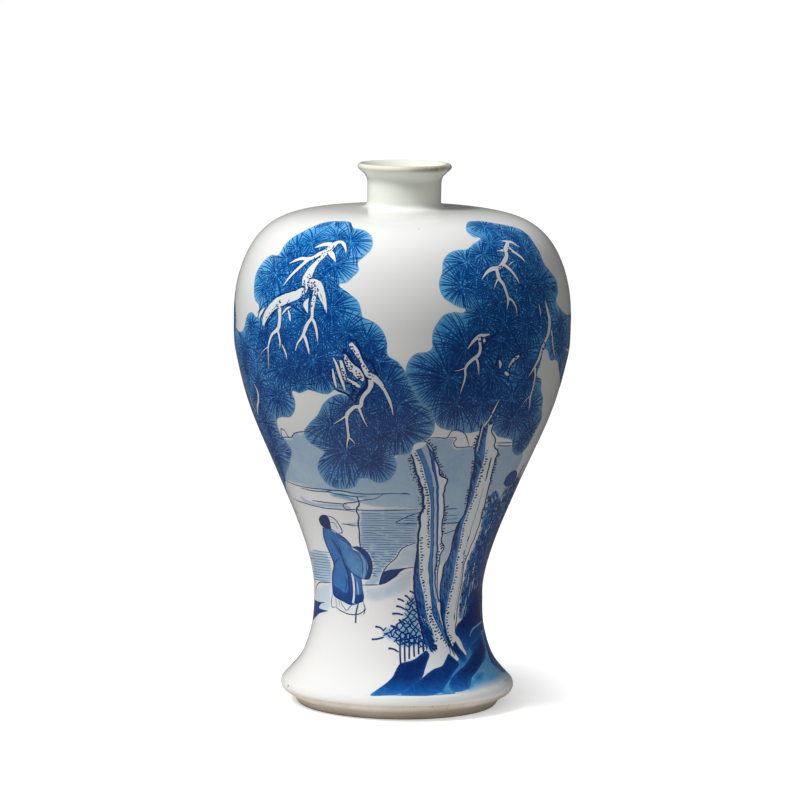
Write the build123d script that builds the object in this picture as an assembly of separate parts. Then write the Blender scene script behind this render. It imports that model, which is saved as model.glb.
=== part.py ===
from build123d import *
import os
from math import cos, radians, sin, tan

# A meiping: a small-mouthed vase with high shoulders, a drawn-in waist and a spreading foot.
# Four sections are thrown on the wheel and stuck to one another with slip, on rims that are cut
# to a slope. The turned pot then gets three coats of glaze, and only its foot stays bare.
# Sizes are in millimetres. The axis of the vase is Z, and the foot ring stands on Z = 0.
# Points of the outline are (radius, height), and the walls are measured from glaze to glaze.

# Height of the vase, and the shares of it at which the foot of the neck, the widest place, the
# joint in the belly and the waist lie
height = 270
shoulder_top_share = 0.92
shoulder_share = 0.721
belly_seam_share = 0.511
waist_share = 0.2026

# Radii of the glazed outside
neck_radius = 18.3
collar_radius = 22.4
shoulder_radius = 83.6
waist_radius = 42
foot_edge_radius = 58.2

# Lip: a thin rounded edge at the end of a flaring neck
lip_radius = 23.3
lip_round = 1.6
lip_under_angle = -45
lip_mouth_angle = 135

# Neck: the share of its height at which it starts to flare, and the fillet at its foot
neck_flare_share = 0.417
neck_fillet = 3.2
collar_slope_angle = 177

# Foot: a rounded spreading edge, a bare slope under it, and the ring that the vase stands on
foot_edge_height = 9.8
foot_edge_round = 4.4
foot_flare_angle = 45
foot_slope_angle = -58
glaze_edge_angle = -20
foot_overhang = 8.2
ring_height = 3.5
ring_draft = 1.9
ring_width = 6
ring_chamfer = 0.6
base_recess = 5.5
base_corner_round = 1.5
base_glaze_edge_height = 2.5

# Walls
neck_wall = 3.8
shoulder_wall = 4.4
belly_wall = 4.6
waist_wall = 5.2
floor_thickness = 7.5
floor_margin = 17.7
floor_round = 7
floor_wall_angle = 25

# Glaze coats and slip seams
glaze_thickness = 0.4
seam_thickness = 0.8
seam_slope_angle = 20

# How far the cuts between the sections reach, as a share of the vase's own size
overrun_share = 2

# Shape of the outline between two of its sizes, as (share across, share up)
flare_shares = ((0.60, 0.257), (0.84, 0.484))
belly_shares = ((0.08, 0.148), (0.30, 0.326), (0.60, 0.531), (0.84, 0.709), (0.965, 0.853))
shoulder_shares = ((0.05, 0.415), (0.18, 0.713), (0.40, 0.902), (0.66, 0.973))
lip_foot_shares = ((0.22, 0.65),)
mouth_shares = ((0.72, 0.45),)


def between(start, end, shares):
    """The points that lie at these shares of the way from start to end."""
    across = end[0] - start[0]
    up = end[1] - start[1]
    return [(start[0] + across * out, start[1] + up * rise) for out, rise in shares]


def on_arc(centre, radius, angle):
    """The point of an arc at this angle."""
    return (centre[0] + radius * cos(radians(angle)), centre[1] + radius * sin(radians(angle)))


def along(angle):
    """The direction in which an arc that turns anticlockwise runs at this angle."""
    return (-sin(radians(angle)), cos(radians(angle)))


def curve(start, end, shares, leaving, arriving):
    """A smooth stretch of the outline, from start to end."""
    return Spline([start, *between(start, end, shares), end], tangents=[leaving, arriving])


# Where these sizes put the parts of the outline
UP = (0, 1)
DOWN = (0, -1)
shoulder_top_height = shoulder_top_share * height
shoulder_height = shoulder_share * height
belly_seam_height = belly_seam_share * height
waist_height = waist_share * height
foot_edge_centre = (foot_edge_radius - foot_edge_round, foot_edge_height)
lip_centre = (lip_radius - lip_round, height - lip_round)
neck_flare_height = shoulder_top_height + neck_flare_share * (height - shoulder_top_height)
ring_radius = foot_edge_radius - foot_overhang
ring_top_radius = ring_radius + ring_draft
ring_inner_radius = ring_radius - ring_width
floor_radius = foot_edge_radius - floor_margin
floor_height = base_recess + floor_thickness
slope = (cos(radians(collar_slope_angle)), sin(radians(collar_slope_angle)))


def outside(coat):
    """The glazed outside from the foot's edge to the crest of the lip, this deep under the glaze."""
    foot_round = foot_edge_round - coat
    edge_arc = foot_flare_angle - glaze_edge_angle
    flare_start = on_arc(foot_edge_centre, foot_round, foot_flare_angle)
    waist = (waist_radius - coat, waist_height)
    widest = (shoulder_radius - coat, shoulder_height)
    collar = (collar_radius - coat, shoulder_top_height - coat)
    neck_foot = (neck_radius - coat, shoulder_top_height + neck_fillet)
    neck_flare = (neck_radius - coat, neck_flare_height)
    under_lip = on_arc(lip_centre, lip_round - coat, lip_under_angle)
    return [
        CenterArc(foot_edge_centre, foot_round, glaze_edge_angle, edge_arc),
        curve(flare_start, waist, flare_shares, along(foot_flare_angle), UP),
        curve(waist, widest, belly_shares, UP, UP),
        curve(widest, collar, shoulder_shares, UP, slope),
        Spline([collar, neck_foot], tangents=[slope, UP]),
        Line(neck_foot, neck_flare),
        curve(neck_flare, under_lip, lip_foot_shares, UP, along(lip_under_angle)),
        CenterArc(lip_centre, lip_round - coat, lip_under_angle, 90 - lip_under_angle),
    ]


def inside(coat):
    """The glazed hollow from the crest of the lip to the middle of its floor, this deep under it."""
    mouth_edge = on_arc(lip_centre, lip_round - coat, lip_mouth_angle)
    throat_radius = neck_radius - neck_wall + coat
    throat = (throat_radius, neck_flare_height)
    throat_foot = (throat_radius, shoulder_top_height)
    under_collar = (collar_radius, shoulder_top_height - shoulder_wall + coat)
    widest = (shoulder_radius - belly_wall + coat, shoulder_height)
    waist = (waist_radius - waist_wall + coat, waist_height)
    corner_centre = (floor_radius - floor_round, floor_height + floor_round)
    corner_round = floor_round + coat
    corner_top = on_arc(corner_centre, corner_round, floor_wall_angle)
    corner_foot = (corner_centre[0], floor_height - coat)
    return [
        CenterArc(lip_centre, lip_round - coat, 90, lip_mouth_angle - 90),
        curve(mouth_edge, throat, mouth_shares, along(lip_mouth_angle), DOWN),
        Line(throat, throat_foot),
        Spline([under_collar, throat_foot], tangents=[slope, UP]),
        curve(widest, under_collar, shoulder_shares, UP, slope),
        curve(waist, widest, belly_shares, UP, UP),
        Spline([corner_top, waist], tangents=[along(floor_wall_angle), UP]),
        CenterArc(corner_centre, corner_round, -90, 90 + floor_wall_angle),
        Line(corner_foot, (0, floor_height - coat)),
    ]


def underside(coat):
    """The glazed base inside the foot ring, from its middle to the glaze's edge, this deep under it."""
    corner_centre = (ring_inner_radius - base_corner_round, base_recess - base_corner_round)
    ceiling = base_recess + coat
    wall = ring_inner_radius + coat
    return [
        Line((0, ceiling), (corner_centre[0], ceiling)),
        CenterArc(corner_centre, base_corner_round + coat, 0, 90),
        Line((wall, corner_centre[1]), (wall, base_glaze_edge_height)),
    ]


def bare_foot():
    """The unglazed foot, from the edge of the base's glaze to the edge of the outer glaze."""
    slope_start = on_arc(foot_edge_centre, foot_edge_round, foot_slope_angle)
    ring = Polyline(
        (ring_inner_radius, base_glaze_edge_height),
        (ring_inner_radius, ring_chamfer),
        (ring_inner_radius + ring_chamfer, 0),
        (ring_radius - ring_chamfer, 0),
        (ring_radius, ring_chamfer),
        (ring_top_radius, ring_height),
        slope_start,
    )
    edge_arc = glaze_edge_angle - foot_slope_angle
    return [ring, CenterArc(foot_edge_centre, foot_edge_round, foot_slope_angle, edge_arc)]


# The steps from the glaze down to the bare clay at the coats' two edges, and the line on the
# lip's crest and the two on the axis where one stretch of the outline ends
foot_glaze_step = Line(
    on_arc(foot_edge_centre, foot_edge_round, glaze_edge_angle),
    on_arc(foot_edge_centre, foot_edge_round - glaze_thickness, glaze_edge_angle),
)
base_glaze_step = Line(
    (ring_inner_radius, base_glaze_edge_height),
    (ring_inner_radius + glaze_thickness, base_glaze_edge_height),
)
crest_step = Line((lip_centre[0], height), (lip_centre[0], height - glaze_thickness))
floor_step = Line((0, floor_height), (0, floor_height - glaze_thickness))
base_step = Line((0, base_recess), (0, base_recess + glaze_thickness))
floor_middle = Line((0, floor_height - glaze_thickness), (0, base_recess + glaze_thickness))

clay = make_face(
    outside(glaze_thickness)
    + inside(glaze_thickness)
    + [floor_middle]
    + underside(glaze_thickness)
    + [base_glaze_step]
    + bare_foot()
    + [foot_glaze_step]
)


def seam_line(wall_radius, wall_height):
    """Heights, on the axis and past the shoulder, of a sloping cut that meets the wall here."""
    fall = wall_radius * tan(radians(seam_slope_angle))
    rise = past_shoulder * tan(radians(seam_slope_angle))
    return (wall_height - fall, wall_height - fall + rise)


def raised(line):
    """The upper face of the slip that lies on a cut."""
    return (line[0] + seam_thickness, line[1] + seam_thickness)


# The cuts, from the table up. Each section ends below one seam and starts again above it.
past_shoulder = overrun_share * shoulder_radius
past_lip = overrun_share * height
waist_seam = seam_line(waist_radius, waist_height)
belly_seam = seam_line(shoulder_radius, belly_seam_height)
neck_seam = seam_line(neck_radius, shoulder_top_height + neck_fillet)
below_all = (-past_lip, -past_lip)
above_all = (past_lip, past_lip)
levels = {
    "foot_section": (below_all, waist_seam),
    "waist_slip_seam": (waist_seam, raised(waist_seam)),
    "belly_section": (raised(waist_seam), belly_seam),
    "belly_slip_seam": (belly_seam, raised(belly_seam)),
    "shoulder_section": (raised(belly_seam), neck_seam),
    "neck_slip_seam": (neck_seam, raised(neck_seam)),
    "neck_section": (raised(neck_seam), above_all),
}


def turned(outline):
    """The solid that a flat outline makes when it turns about the axis."""
    return revolve(Plane.XZ * outline, Axis.Z)


def coat_of(stretch, steps):
    """A coat of glaze: a stretch of the outline, the same one under the glaze, and their two ends."""
    return turned(make_face(stretch(0) + stretch(glaze_thickness) + steps))


def section_between(lower, upper):
    """The clay between two cuts."""
    inner_side = [(0, upper[0]), (0, lower[0])]
    outer_side = [(past_shoulder, lower[1]), (past_shoulder, upper[1])]
    return turned(clay & make_face(Polyline(*inner_side, *outer_side, close=True)))


pieces = {
    "outer_glaze": coat_of(outside, [crest_step, foot_glaze_step]),
    "inner_glaze": coat_of(inside, [crest_step, floor_step]),
    "base_glaze": coat_of(underside, [base_step, base_glaze_step]),
}
for name, (lower, upper) in levels.items():
    pieces[name] = section_between(lower, upper)

os.makedirs("parts", exist_ok=True)
for name, piece in pieces.items():
    export_step(piece, f"parts/{name}.step")
    print(name, round(piece.volume), "cubic millimetres")
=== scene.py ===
# %% [markdown]
# # A blue and white meiping
# A meiping is a vase for one flowering branch: wide shoulders, a very small mouth, a drawn-in
# waist and a spreading foot. The potter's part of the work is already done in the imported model,
# which holds the thrown sections, the slip between them and the glaze coats at their real size.
# This script does the decorator's and the photographer's part: the cobalt painting, the look of
# glaze and bare clay, the light, and the camera.

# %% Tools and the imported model
import math
import random

import bmesh
import bpy
import numpy as np
from mathutils import Matrix, Vector
from mathutils.bvhtree import BVHTree


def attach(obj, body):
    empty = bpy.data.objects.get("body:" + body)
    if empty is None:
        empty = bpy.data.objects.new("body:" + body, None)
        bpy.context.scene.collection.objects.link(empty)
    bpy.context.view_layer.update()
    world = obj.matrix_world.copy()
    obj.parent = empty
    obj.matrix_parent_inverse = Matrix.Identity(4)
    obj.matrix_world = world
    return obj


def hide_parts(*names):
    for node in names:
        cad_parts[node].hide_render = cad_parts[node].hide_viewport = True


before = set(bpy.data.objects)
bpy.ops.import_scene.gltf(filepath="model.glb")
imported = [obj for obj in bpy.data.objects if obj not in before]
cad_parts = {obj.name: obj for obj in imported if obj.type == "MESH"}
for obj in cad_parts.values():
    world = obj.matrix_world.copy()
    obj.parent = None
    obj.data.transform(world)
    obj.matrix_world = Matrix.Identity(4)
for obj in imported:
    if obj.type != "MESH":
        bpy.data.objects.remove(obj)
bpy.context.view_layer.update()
MM = 0.001
print("pieces of the packed model:", sorted(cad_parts))

# %% [markdown]
# ## The camera
# The photograph looks down at the vase by a few degrees through a long lens, and its horizon
# leans a little. These values come from fitting the outline of a vase of this height to the
# edges in the picture. With them, a place in the picture can be followed back to a place on the
# vase, which is how the painting is laid out further down.

# %% Camera
PICTURE = 800
FOCAL_PIXELS = 4724
camera_distance = 2331 * MM
camera_height = 452 * MM
camera_aside = -0.58 * MM
camera_pitch = math.radians(7.336)
camera_roll = math.radians(0.856)

camera = bpy.data.objects.new("camera", bpy.data.cameras.new("camera"))
bpy.context.scene.collection.objects.link(camera)
bpy.context.scene.camera = camera
camera.data.sensor_width = 36
camera.data.lens = camera.data.sensor_width * FOCAL_PIXELS / PICTURE
camera.data.clip_end = 60
tilt = Matrix.Rotation(math.pi / 2 - camera_pitch, 4, "X") @ Matrix.Rotation(camera_roll, 4, "Z")
camera.matrix_world = Matrix.Translation((camera_aside, -camera_distance, camera_height)) @ tilt
print("lens:", round(camera.data.lens, 1), "mm")


def ray_through(column, row):
    """The direction in which the camera sees this place of the picture."""
    half = PICTURE / 2
    seen = Vector(((column - half) / FOCAL_PIXELS, (half - row) / FOCAL_PIXELS, -1))
    return (tilt.to_3x3() @ seen).normalized()


# %% [markdown]
# ## The outline of the vase
# A thrown pot is one outline turned round an axis. The outline could be written down again here,
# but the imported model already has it, so it is read from there: every corner of a coat of glaze
# that belongs to an outward face gives a radius and a height. On this vase the height only ever
# rises along the outline, so sorting by height puts the points in order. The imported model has
# only as many points as its shape needs, so a smooth curve is passed through them and divided
# again, finely enough for the long soft highlights of a glazed pot.

# %% Outlines of the coats
def outline_of(node, outwards=True):
    """Radius and height, in metres, of the points of a turned coat on its outer or its inner side."""
    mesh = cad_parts[node].data
    places = np.zeros(len(mesh.vertices) * 3)
    mesh.vertices.foreach_get("co", places)
    places = places.reshape(-1, 3)
    corners = np.zeros(len(mesh.polygons) * 3, int)
    mesh.polygons.foreach_get("vertices", corners)
    triangles = places[corners.reshape(-1, 3)]
    facing = np.cross(triangles[:, 1] - triangles[:, 0], triangles[:, 2] - triangles[:, 0])
    facing /= np.linalg.norm(facing, axis=1, keepdims=True) + 1e-20
    middle = triangles.mean(axis=1)
    away = (facing[:, :2] * middle[:, :2]).sum(axis=1) / (np.linalg.norm(middle[:, :2], axis=1) + 1e-12)
    chosen = triangles[away > 0.01 if outwards else away < -0.01].reshape(-1, 3)
    points = np.stack([np.linalg.norm(chosen[:, :2], axis=1), chosen[:, 2]], axis=1)
    points = points[np.unique(np.round(points[:, 1] / (0.05 * MM)), return_index=True)[1]]
    points = points[np.argsort(points[:, 1])]
    kept = [points[0]]
    for point in points[1:-1]:
        if np.linalg.norm(point - kept[-1]) > 0.25 * MM and np.linalg.norm(point - points[-1]) > 0.1 * MM:
            kept.append(point)
    return np.array(kept + [points[-1]])


def smooth_way(points, longest, bend=None):
    """A smooth curve through the points, cut so that no step is longer than this, or bends more."""
    points = np.asarray(points, float)
    lengths = np.concatenate([[0], np.cumsum(np.linalg.norm(np.diff(points, axis=0), axis=1))])
    slopes = np.gradient(points, lengths, axis=0) if len(points) > 2 else np.tile((points[-1] - points[0]) / lengths[-1], (2, 1))
    fine = np.linspace(0, lengths[-1], max(2, int(math.ceil(lengths[-1] / longest * (8 if bend else 1))) + 1))
    part = np.clip(np.searchsorted(lengths, fine, side="right") - 1, 0, len(points) - 2)
    span = (lengths[part + 1] - lengths[part])[:, None]
    share = ((fine - lengths[part]) / span[:, 0])[:, None]
    curve = (
        (2 * share**3 - 3 * share**2 + 1) * points[part]
        + (share**3 - 2 * share**2 + share) * span * slopes[part]
        + (3 * share**2 - 2 * share**3) * points[part + 1]
        + (share**3 - share**2) * span * slopes[part + 1]
    )
    if not bend:
        return curve
    step = np.diff(curve, axis=0)
    heading = np.unwrap(np.arctan2(step[:, 1], step[:, 0]))
    cost = np.linalg.norm(step, axis=1) / longest + np.abs(np.gradient(heading)) / bend
    cost = np.concatenate([[0], np.cumsum(cost)])
    wanted = np.linspace(0, cost[-1], int(math.ceil(cost[-1])) + 1)
    return np.stack([np.interp(wanted, cost, curve[:, axis]) for axis in (0, 1)], axis=1)


glaze_outline = smooth_way(outline_of("outer_glaze"), 1.6 * MM, math.radians(5))
under_glaze_outline = smooth_way(outline_of("outer_glaze", outwards=False), 6 * MM, math.radians(12))
print("outer coat:", len(glaze_outline), "points, widest", round(glaze_outline[:, 0].max() / MM, 2), "mm")

# %% [markdown]
# ## Turning the outer coat
# The outline is drawn as a chain of edges and spun round the axis, as a potter's profile would
# be. The coat is a closed skin 0.4 mm thick, so its chain runs up the outside and down again on
# the clay side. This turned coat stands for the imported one, whose facets would show in the gloss.

# %% Turned coats
def coloured(values):
    """A colour written as red, green and blue of a screen, from 0 to 255, as the renderer wants it."""
    shares = [value / 255 for value in values]
    return [s / 12.92 if s <= 0.04045 else ((s + 0.055) / 1.055) ** 2.4 for s in shares] + [1.0]


def finished(mesh_builder, name, material, replaces=(), sharp=35):
    """Turn a bmesh into a piece of the vase."""
    for edge in mesh_builder.edges:
        if edge.is_manifold and edge.calc_face_angle(0) > math.radians(sharp):
            edge.smooth = False
    for face in mesh_builder.faces:
        face.smooth = True
    mesh = bpy.data.meshes.new(name)
    mesh_builder.to_mesh(mesh)
    mesh_builder.free()
    mesh.materials.append(material)
    piece = bpy.data.objects.new(name, mesh)
    bpy.context.scene.collection.objects.link(piece)
    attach(piece, "root")
    if replaces:
        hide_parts(*replaces)
    print(name, "has", sum(len(face.vertices) - 2 for face in mesh.polygons), "triangles")
    return piece


def turned(chain, steps, closed=True):
    """A chain of (radius, height) points, spun round the axis."""
    body = bmesh.new()
    corners = [body.verts.new((radius, 0, height)) for radius, height in chain]
    joined = list(zip(corners, corners[1:] + corners[:1])) if closed else list(zip(corners, corners[1:]))
    edges = [body.edges.new(pair) for pair in joined]
    bmesh.ops.spin(body, geom=corners + edges, cent=(0, 0, 0), axis=(0, 0, 1), angle=2 * math.pi, steps=steps, use_merge=True)
    bmesh.ops.remove_doubles(body, verts=body.verts, dist=0.002 * MM)
    bmesh.ops.recalc_face_normals(body, faces=body.faces)
    return body


outer_coat = turned(np.concatenate([glaze_outline, under_glaze_outline[::-1]]), 288)
outer_surface = BVHTree.FromBMesh(outer_coat)
print("outer coat:", len(outer_coat.faces), "faces")

# %% [markdown]
# ## Shader maths
# Materials here are written as sums. A small class wraps the output of a node, so that adding or
# multiplying two of them makes the Math node in between, and one method makes every other node.

# %% Shader maths
class Value:
    """The output of a shader node, in an expression."""

    def __init__(self, tree, socket):
        self.tree = tree
        self.socket = socket

    def maths(self, operation, *others, clamp=False):
        node = self.tree.nodes.new("ShaderNodeMath")
        node.operation = operation
        node.use_clamp = clamp
        for place, term in enumerate((self, *others)):
            if isinstance(term, Value):
                self.tree.links.new(term.socket, node.inputs[place])
            else:
                node.inputs[place].default_value = term
        return Value(self.tree, node.outputs[0])

    def __add__(self, other):
        return self.maths("ADD", other)

    def __mul__(self, other):
        return self.maths("MULTIPLY", other)

    def __sub__(self, other):
        return self.maths("SUBTRACT", other)

    def __rsub__(self, other):
        return (self * -1) + other

    __radd__ = __add__
    __rmul__ = __mul__

    def rise(self, low, high):
        """From 0 below the low value to 1 above the high one."""
        return ((self - low) * (1 / (high - low))).maths("MINIMUM", 1).maths("MAXIMUM", 0)


class Finish:
    """A material under construction."""

    def __init__(self, name):
        self.material = bpy.data.materials.new(name)
        self.material.use_nodes = True
        self.tree = self.material.node_tree
        self.shader = self.tree.nodes["Principled BSDF"]
        self.place = self.node("ShaderNodeTexCoord", output="Object")
        self.height = self.node("ShaderNodeSeparateXYZ", {"Vector": self.place}, output="Z")
        self.aside = self.node("ShaderNodeSeparateXYZ", {"Vector": self.place}, output="X")
        self.depth = self.node("ShaderNodeSeparateXYZ", {"Vector": self.place}, output="Y")

    def node(self, kind, inputs=None, output=0, **settings):
        node = self.tree.nodes.new(kind)
        for name, setting in settings.items():
            setattr(node, name, setting)
        for name, value in (inputs or {}).items():
            if isinstance(value, Value):
                self.tree.links.new(value.socket, node.inputs[name])
            else:
                node.inputs[name].default_value = value
        return Value(self.tree, node.outputs[output])

    def noise(self, scale, detail=2.0, roughness=0.5, vector=None):
        inputs = {"Vector": vector or self.place, "Scale": scale, "Detail": detail, "Roughness": roughness}
        return self.node("ShaderNodeTexNoise", inputs, output=0)

    def stretched(self, across, up):
        """Object coordinates, squeezed so that a pattern runs round the pot."""
        return self.node("ShaderNodeMapping", {"Vector": self.place, "Scale": (across, across, up)})

    def mixed(self, share, first, second):
        """Between two colours, which may be written as 0 to 255 values."""
        node = self.tree.nodes.new("ShaderNodeMix")
        node.data_type = "RGBA"
        for place, term in ((0, share), (6, first), (7, second)):
            if isinstance(term, Value):
                self.tree.links.new(term.socket, node.inputs[place])
            elif place == 0:
                node.inputs[place].default_value = term
            else:
                node.inputs[place].default_value = coloured(term)
        return Value(self.tree, node.outputs[2])

    def set(self, **sockets):
        for name, value in sockets.items():
            socket = self.shader.inputs[name.replace("_", " ").title().replace("Ior", "IOR")]
            if isinstance(value, Value):
                self.tree.links.new(value.socket, socket)
            elif name == "base_color":
                socket.default_value = coloured(value)
            else:
                socket.default_value = value

    def bump(self, height, distance, strength=1.0):
        self.set(normal=self.node("ShaderNodeBump", {"Height": height, "Distance": distance, "Strength": strength}))


# %% [markdown]
# ## Glaze
# The glaze is a clear glass over a white body. It is faintly blue where it is thick, warmer and
# a little yellow where it thins out over the lip and the foot's edge, and on part of the lip it
# has burnt brown in the kiln. Its surface isn't quite even: it keeps faint rings from the wheel
# and the soft unevenness of a thick glassy coat.

# %% Glaze
GLAZE_WHITE = (238, 237, 234)
GLAZE_WARM = (233, 227, 214)
GLAZE_NECK = (232, 235, 223)
LIP_BROWN = (148, 128, 98)
# Specks in the glaze: place in the picture, radius, colour
FLAWS = (
    ((288, 686), 1.0 * MM, (150, 112, 72)),
    ((419, 229), 0.36 * MM, (70, 70, 76)),
    ((441, 211), 0.34 * MM, (110, 104, 98)),
)


def glaze_surface(finish):
    """The gloss and the faint unevenness that all glazed places share."""
    rings = finish.noise(95, vector=finish.stretched(0.05, 1.0))
    waves = finish.noise(38, detail=1.0)
    finish.bump(rings * 0.35 + waves, 0.25 * MM, 0.35)
    finish.set(roughness=0.11, specular_ior_level=0.5, coat_weight=0.1, coat_roughness=0.04)


def glaze_colour(finish):
    """The colour of the glaze with nothing painted under it."""
    cloud = finish.noise(14, detail=3.0)
    colour = finish.mixed(cloud.rise(0.35, 0.75), GLAZE_WHITE, (232, 233, 231))
    thin_foot = 1 - (finish.height + finish.noise(60) * 0.0012).rise(0.0088, 0.0104)
    thin_lip = (finish.height + finish.noise(90) * 0.0006).rise(0.2669, 0.2679)
    in_front = 1 - finish.depth.rise(-0.008, 0.004)
    colour = finish.mixed(finish.height.rise(0.246, 0.254) * 0.8, colour, GLAZE_NECK)
    colour = finish.mixed(thin_foot * 0.8 + thin_lip * (in_front * 0.5 + 0.3), colour, GLAZE_WARM)
    burnt = finish.aside.rise(-0.004, 0.016) * in_front * finish.noise(150, detail=4.0).rise(0.36, 0.56)
    colour = finish.mixed(burnt * thin_lip * 0.8, colour, LIP_BROWN)
    for (column, row), size, tint in FLAWS:
        spot = outer_surface.ray_cast(camera.matrix_world.translation, ray_through(column, row))[0]
        apart = finish.node("ShaderNodeVectorMath", {0: finish.place, 1: spot}, output="Value", operation="DISTANCE")
        colour = finish.mixed(1 - (apart + finish.noise(700) * 0.0004 - 0.0002).rise(size * 0.45, size), colour, tint)
    return colour


outer_glaze_finish = Finish("outer glaze")
glaze_surface(outer_glaze_finish)
outer_glaze_finish.set(base_color=glaze_colour(outer_glaze_finish))
outer_piece = finished(outer_coat, "glaze_outside", outer_glaze_finish.material, ["outer_glaze"])

# %% [markdown]
# ## Drawing on a round pot
# The painter works on the raw, unglazed pot with a brush and cobalt, a colour that goes under the
# glaze and fires blue. Here each brush stroke is a thin sheet of its own. It is first drawn flat,
# on a chart whose two directions are the angle round the pot, from the front, and the way up
# along the outline, and then the whole sheet is wrapped onto the glaze, a few hundredths of a
# millimetre above it. Places read from the picture reach the chart along the camera's rays.

# %% The chart
steps_up = np.linalg.norm(np.diff(glaze_outline, axis=0), axis=1)
way_up = np.concatenate([[0], np.cumsum(steps_up)])
tangents = np.gradient(glaze_outline, way_up, axis=0)
tangents /= np.linalg.norm(tangents, axis=1, keepdims=True)


def radius_at(up):
    return np.interp(up, way_up, glaze_outline[:, 0])


def up_at(height):
    return np.interp(height, glaze_outline[:, 1], way_up)


def wrapped(angle, up, lift):
    """Places and surface directions of chart points, this far above the glaze."""
    height = np.interp(up, way_up, glaze_outline[:, 1])
    out = np.interp(up, way_up, tangents[:, 1])
    rise = -np.interp(up, way_up, tangents[:, 0])
    size = np.hypot(out, rise)
    out, rise = out / size, rise / size
    reach = radius_at(up) + out * lift
    places = np.stack([reach * np.sin(angle), -reach * np.cos(angle), height + rise * lift], axis=1)
    facing = np.stack([out * np.sin(angle), -out * np.cos(angle), rise], axis=1)
    return places, facing


def touched(column, row):
    """The chart point that the picture shows here, or the nearest one towards the axis."""
    for _ in range(60):
        hit = outer_surface.ray_cast(camera.matrix_world.translation, ray_through(column, row))
        if hit[0] is not None:
            return (math.atan2(hit[0].x, -hit[0].y), float(up_at(hit[0].z)))
        column += 1 if column < PICTURE / 2 else -1
    raise ValueError(f"nothing is seen at {column}, {row}")


def seen(*places):
    return np.array([touched(*place) for place in places])


def behind(*places):
    """Chart points of the side that the picture doesn't show, from degrees and millimetres of height."""
    return np.array([(math.radians(degrees), float(up_at(height * MM))) for degrees, height in places])


DOT = (camera_distance - 0.07) / FOCAL_PIXELS
print("way up along the outline:", round(way_up[-1] / MM, 1), "mm; one dot of the picture:", round(DOT / MM, 3), "mm")

# %% [markdown]
# ## A brush
# A stroke is a narrow grid of faces laid along a smooth way. A wash is a filled outline, cut up
# finely enough to follow the curve of the pot. Each corner of a sheet carries a tone, from 0 for
# bare glaze to 1 for the darkest cobalt, and one material turns that tone into colour, so that
# thin and thick pigment run into each other. There are thousands of strokes, so the flat grid of
# each length is made once and its corners are then laid along every stroke that needs it.

# %% The brush
grids = {}


def grid(along, across):
    """Corners, as shares from 0 to 1, and faces of a flat grid."""
    if (along, across) not in grids:
        patch = bmesh.new()
        bmesh.ops.create_grid(patch, x_segments=along, y_segments=across, size=0.5)
        corners = np.array([corner.co[:2] for corner in patch.verts]) + 0.5
        grids[along, across] = (corners, [[corner.index for corner in face.verts] for face in patch.faces])
        patch.free()
    return grids[along, across]


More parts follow.
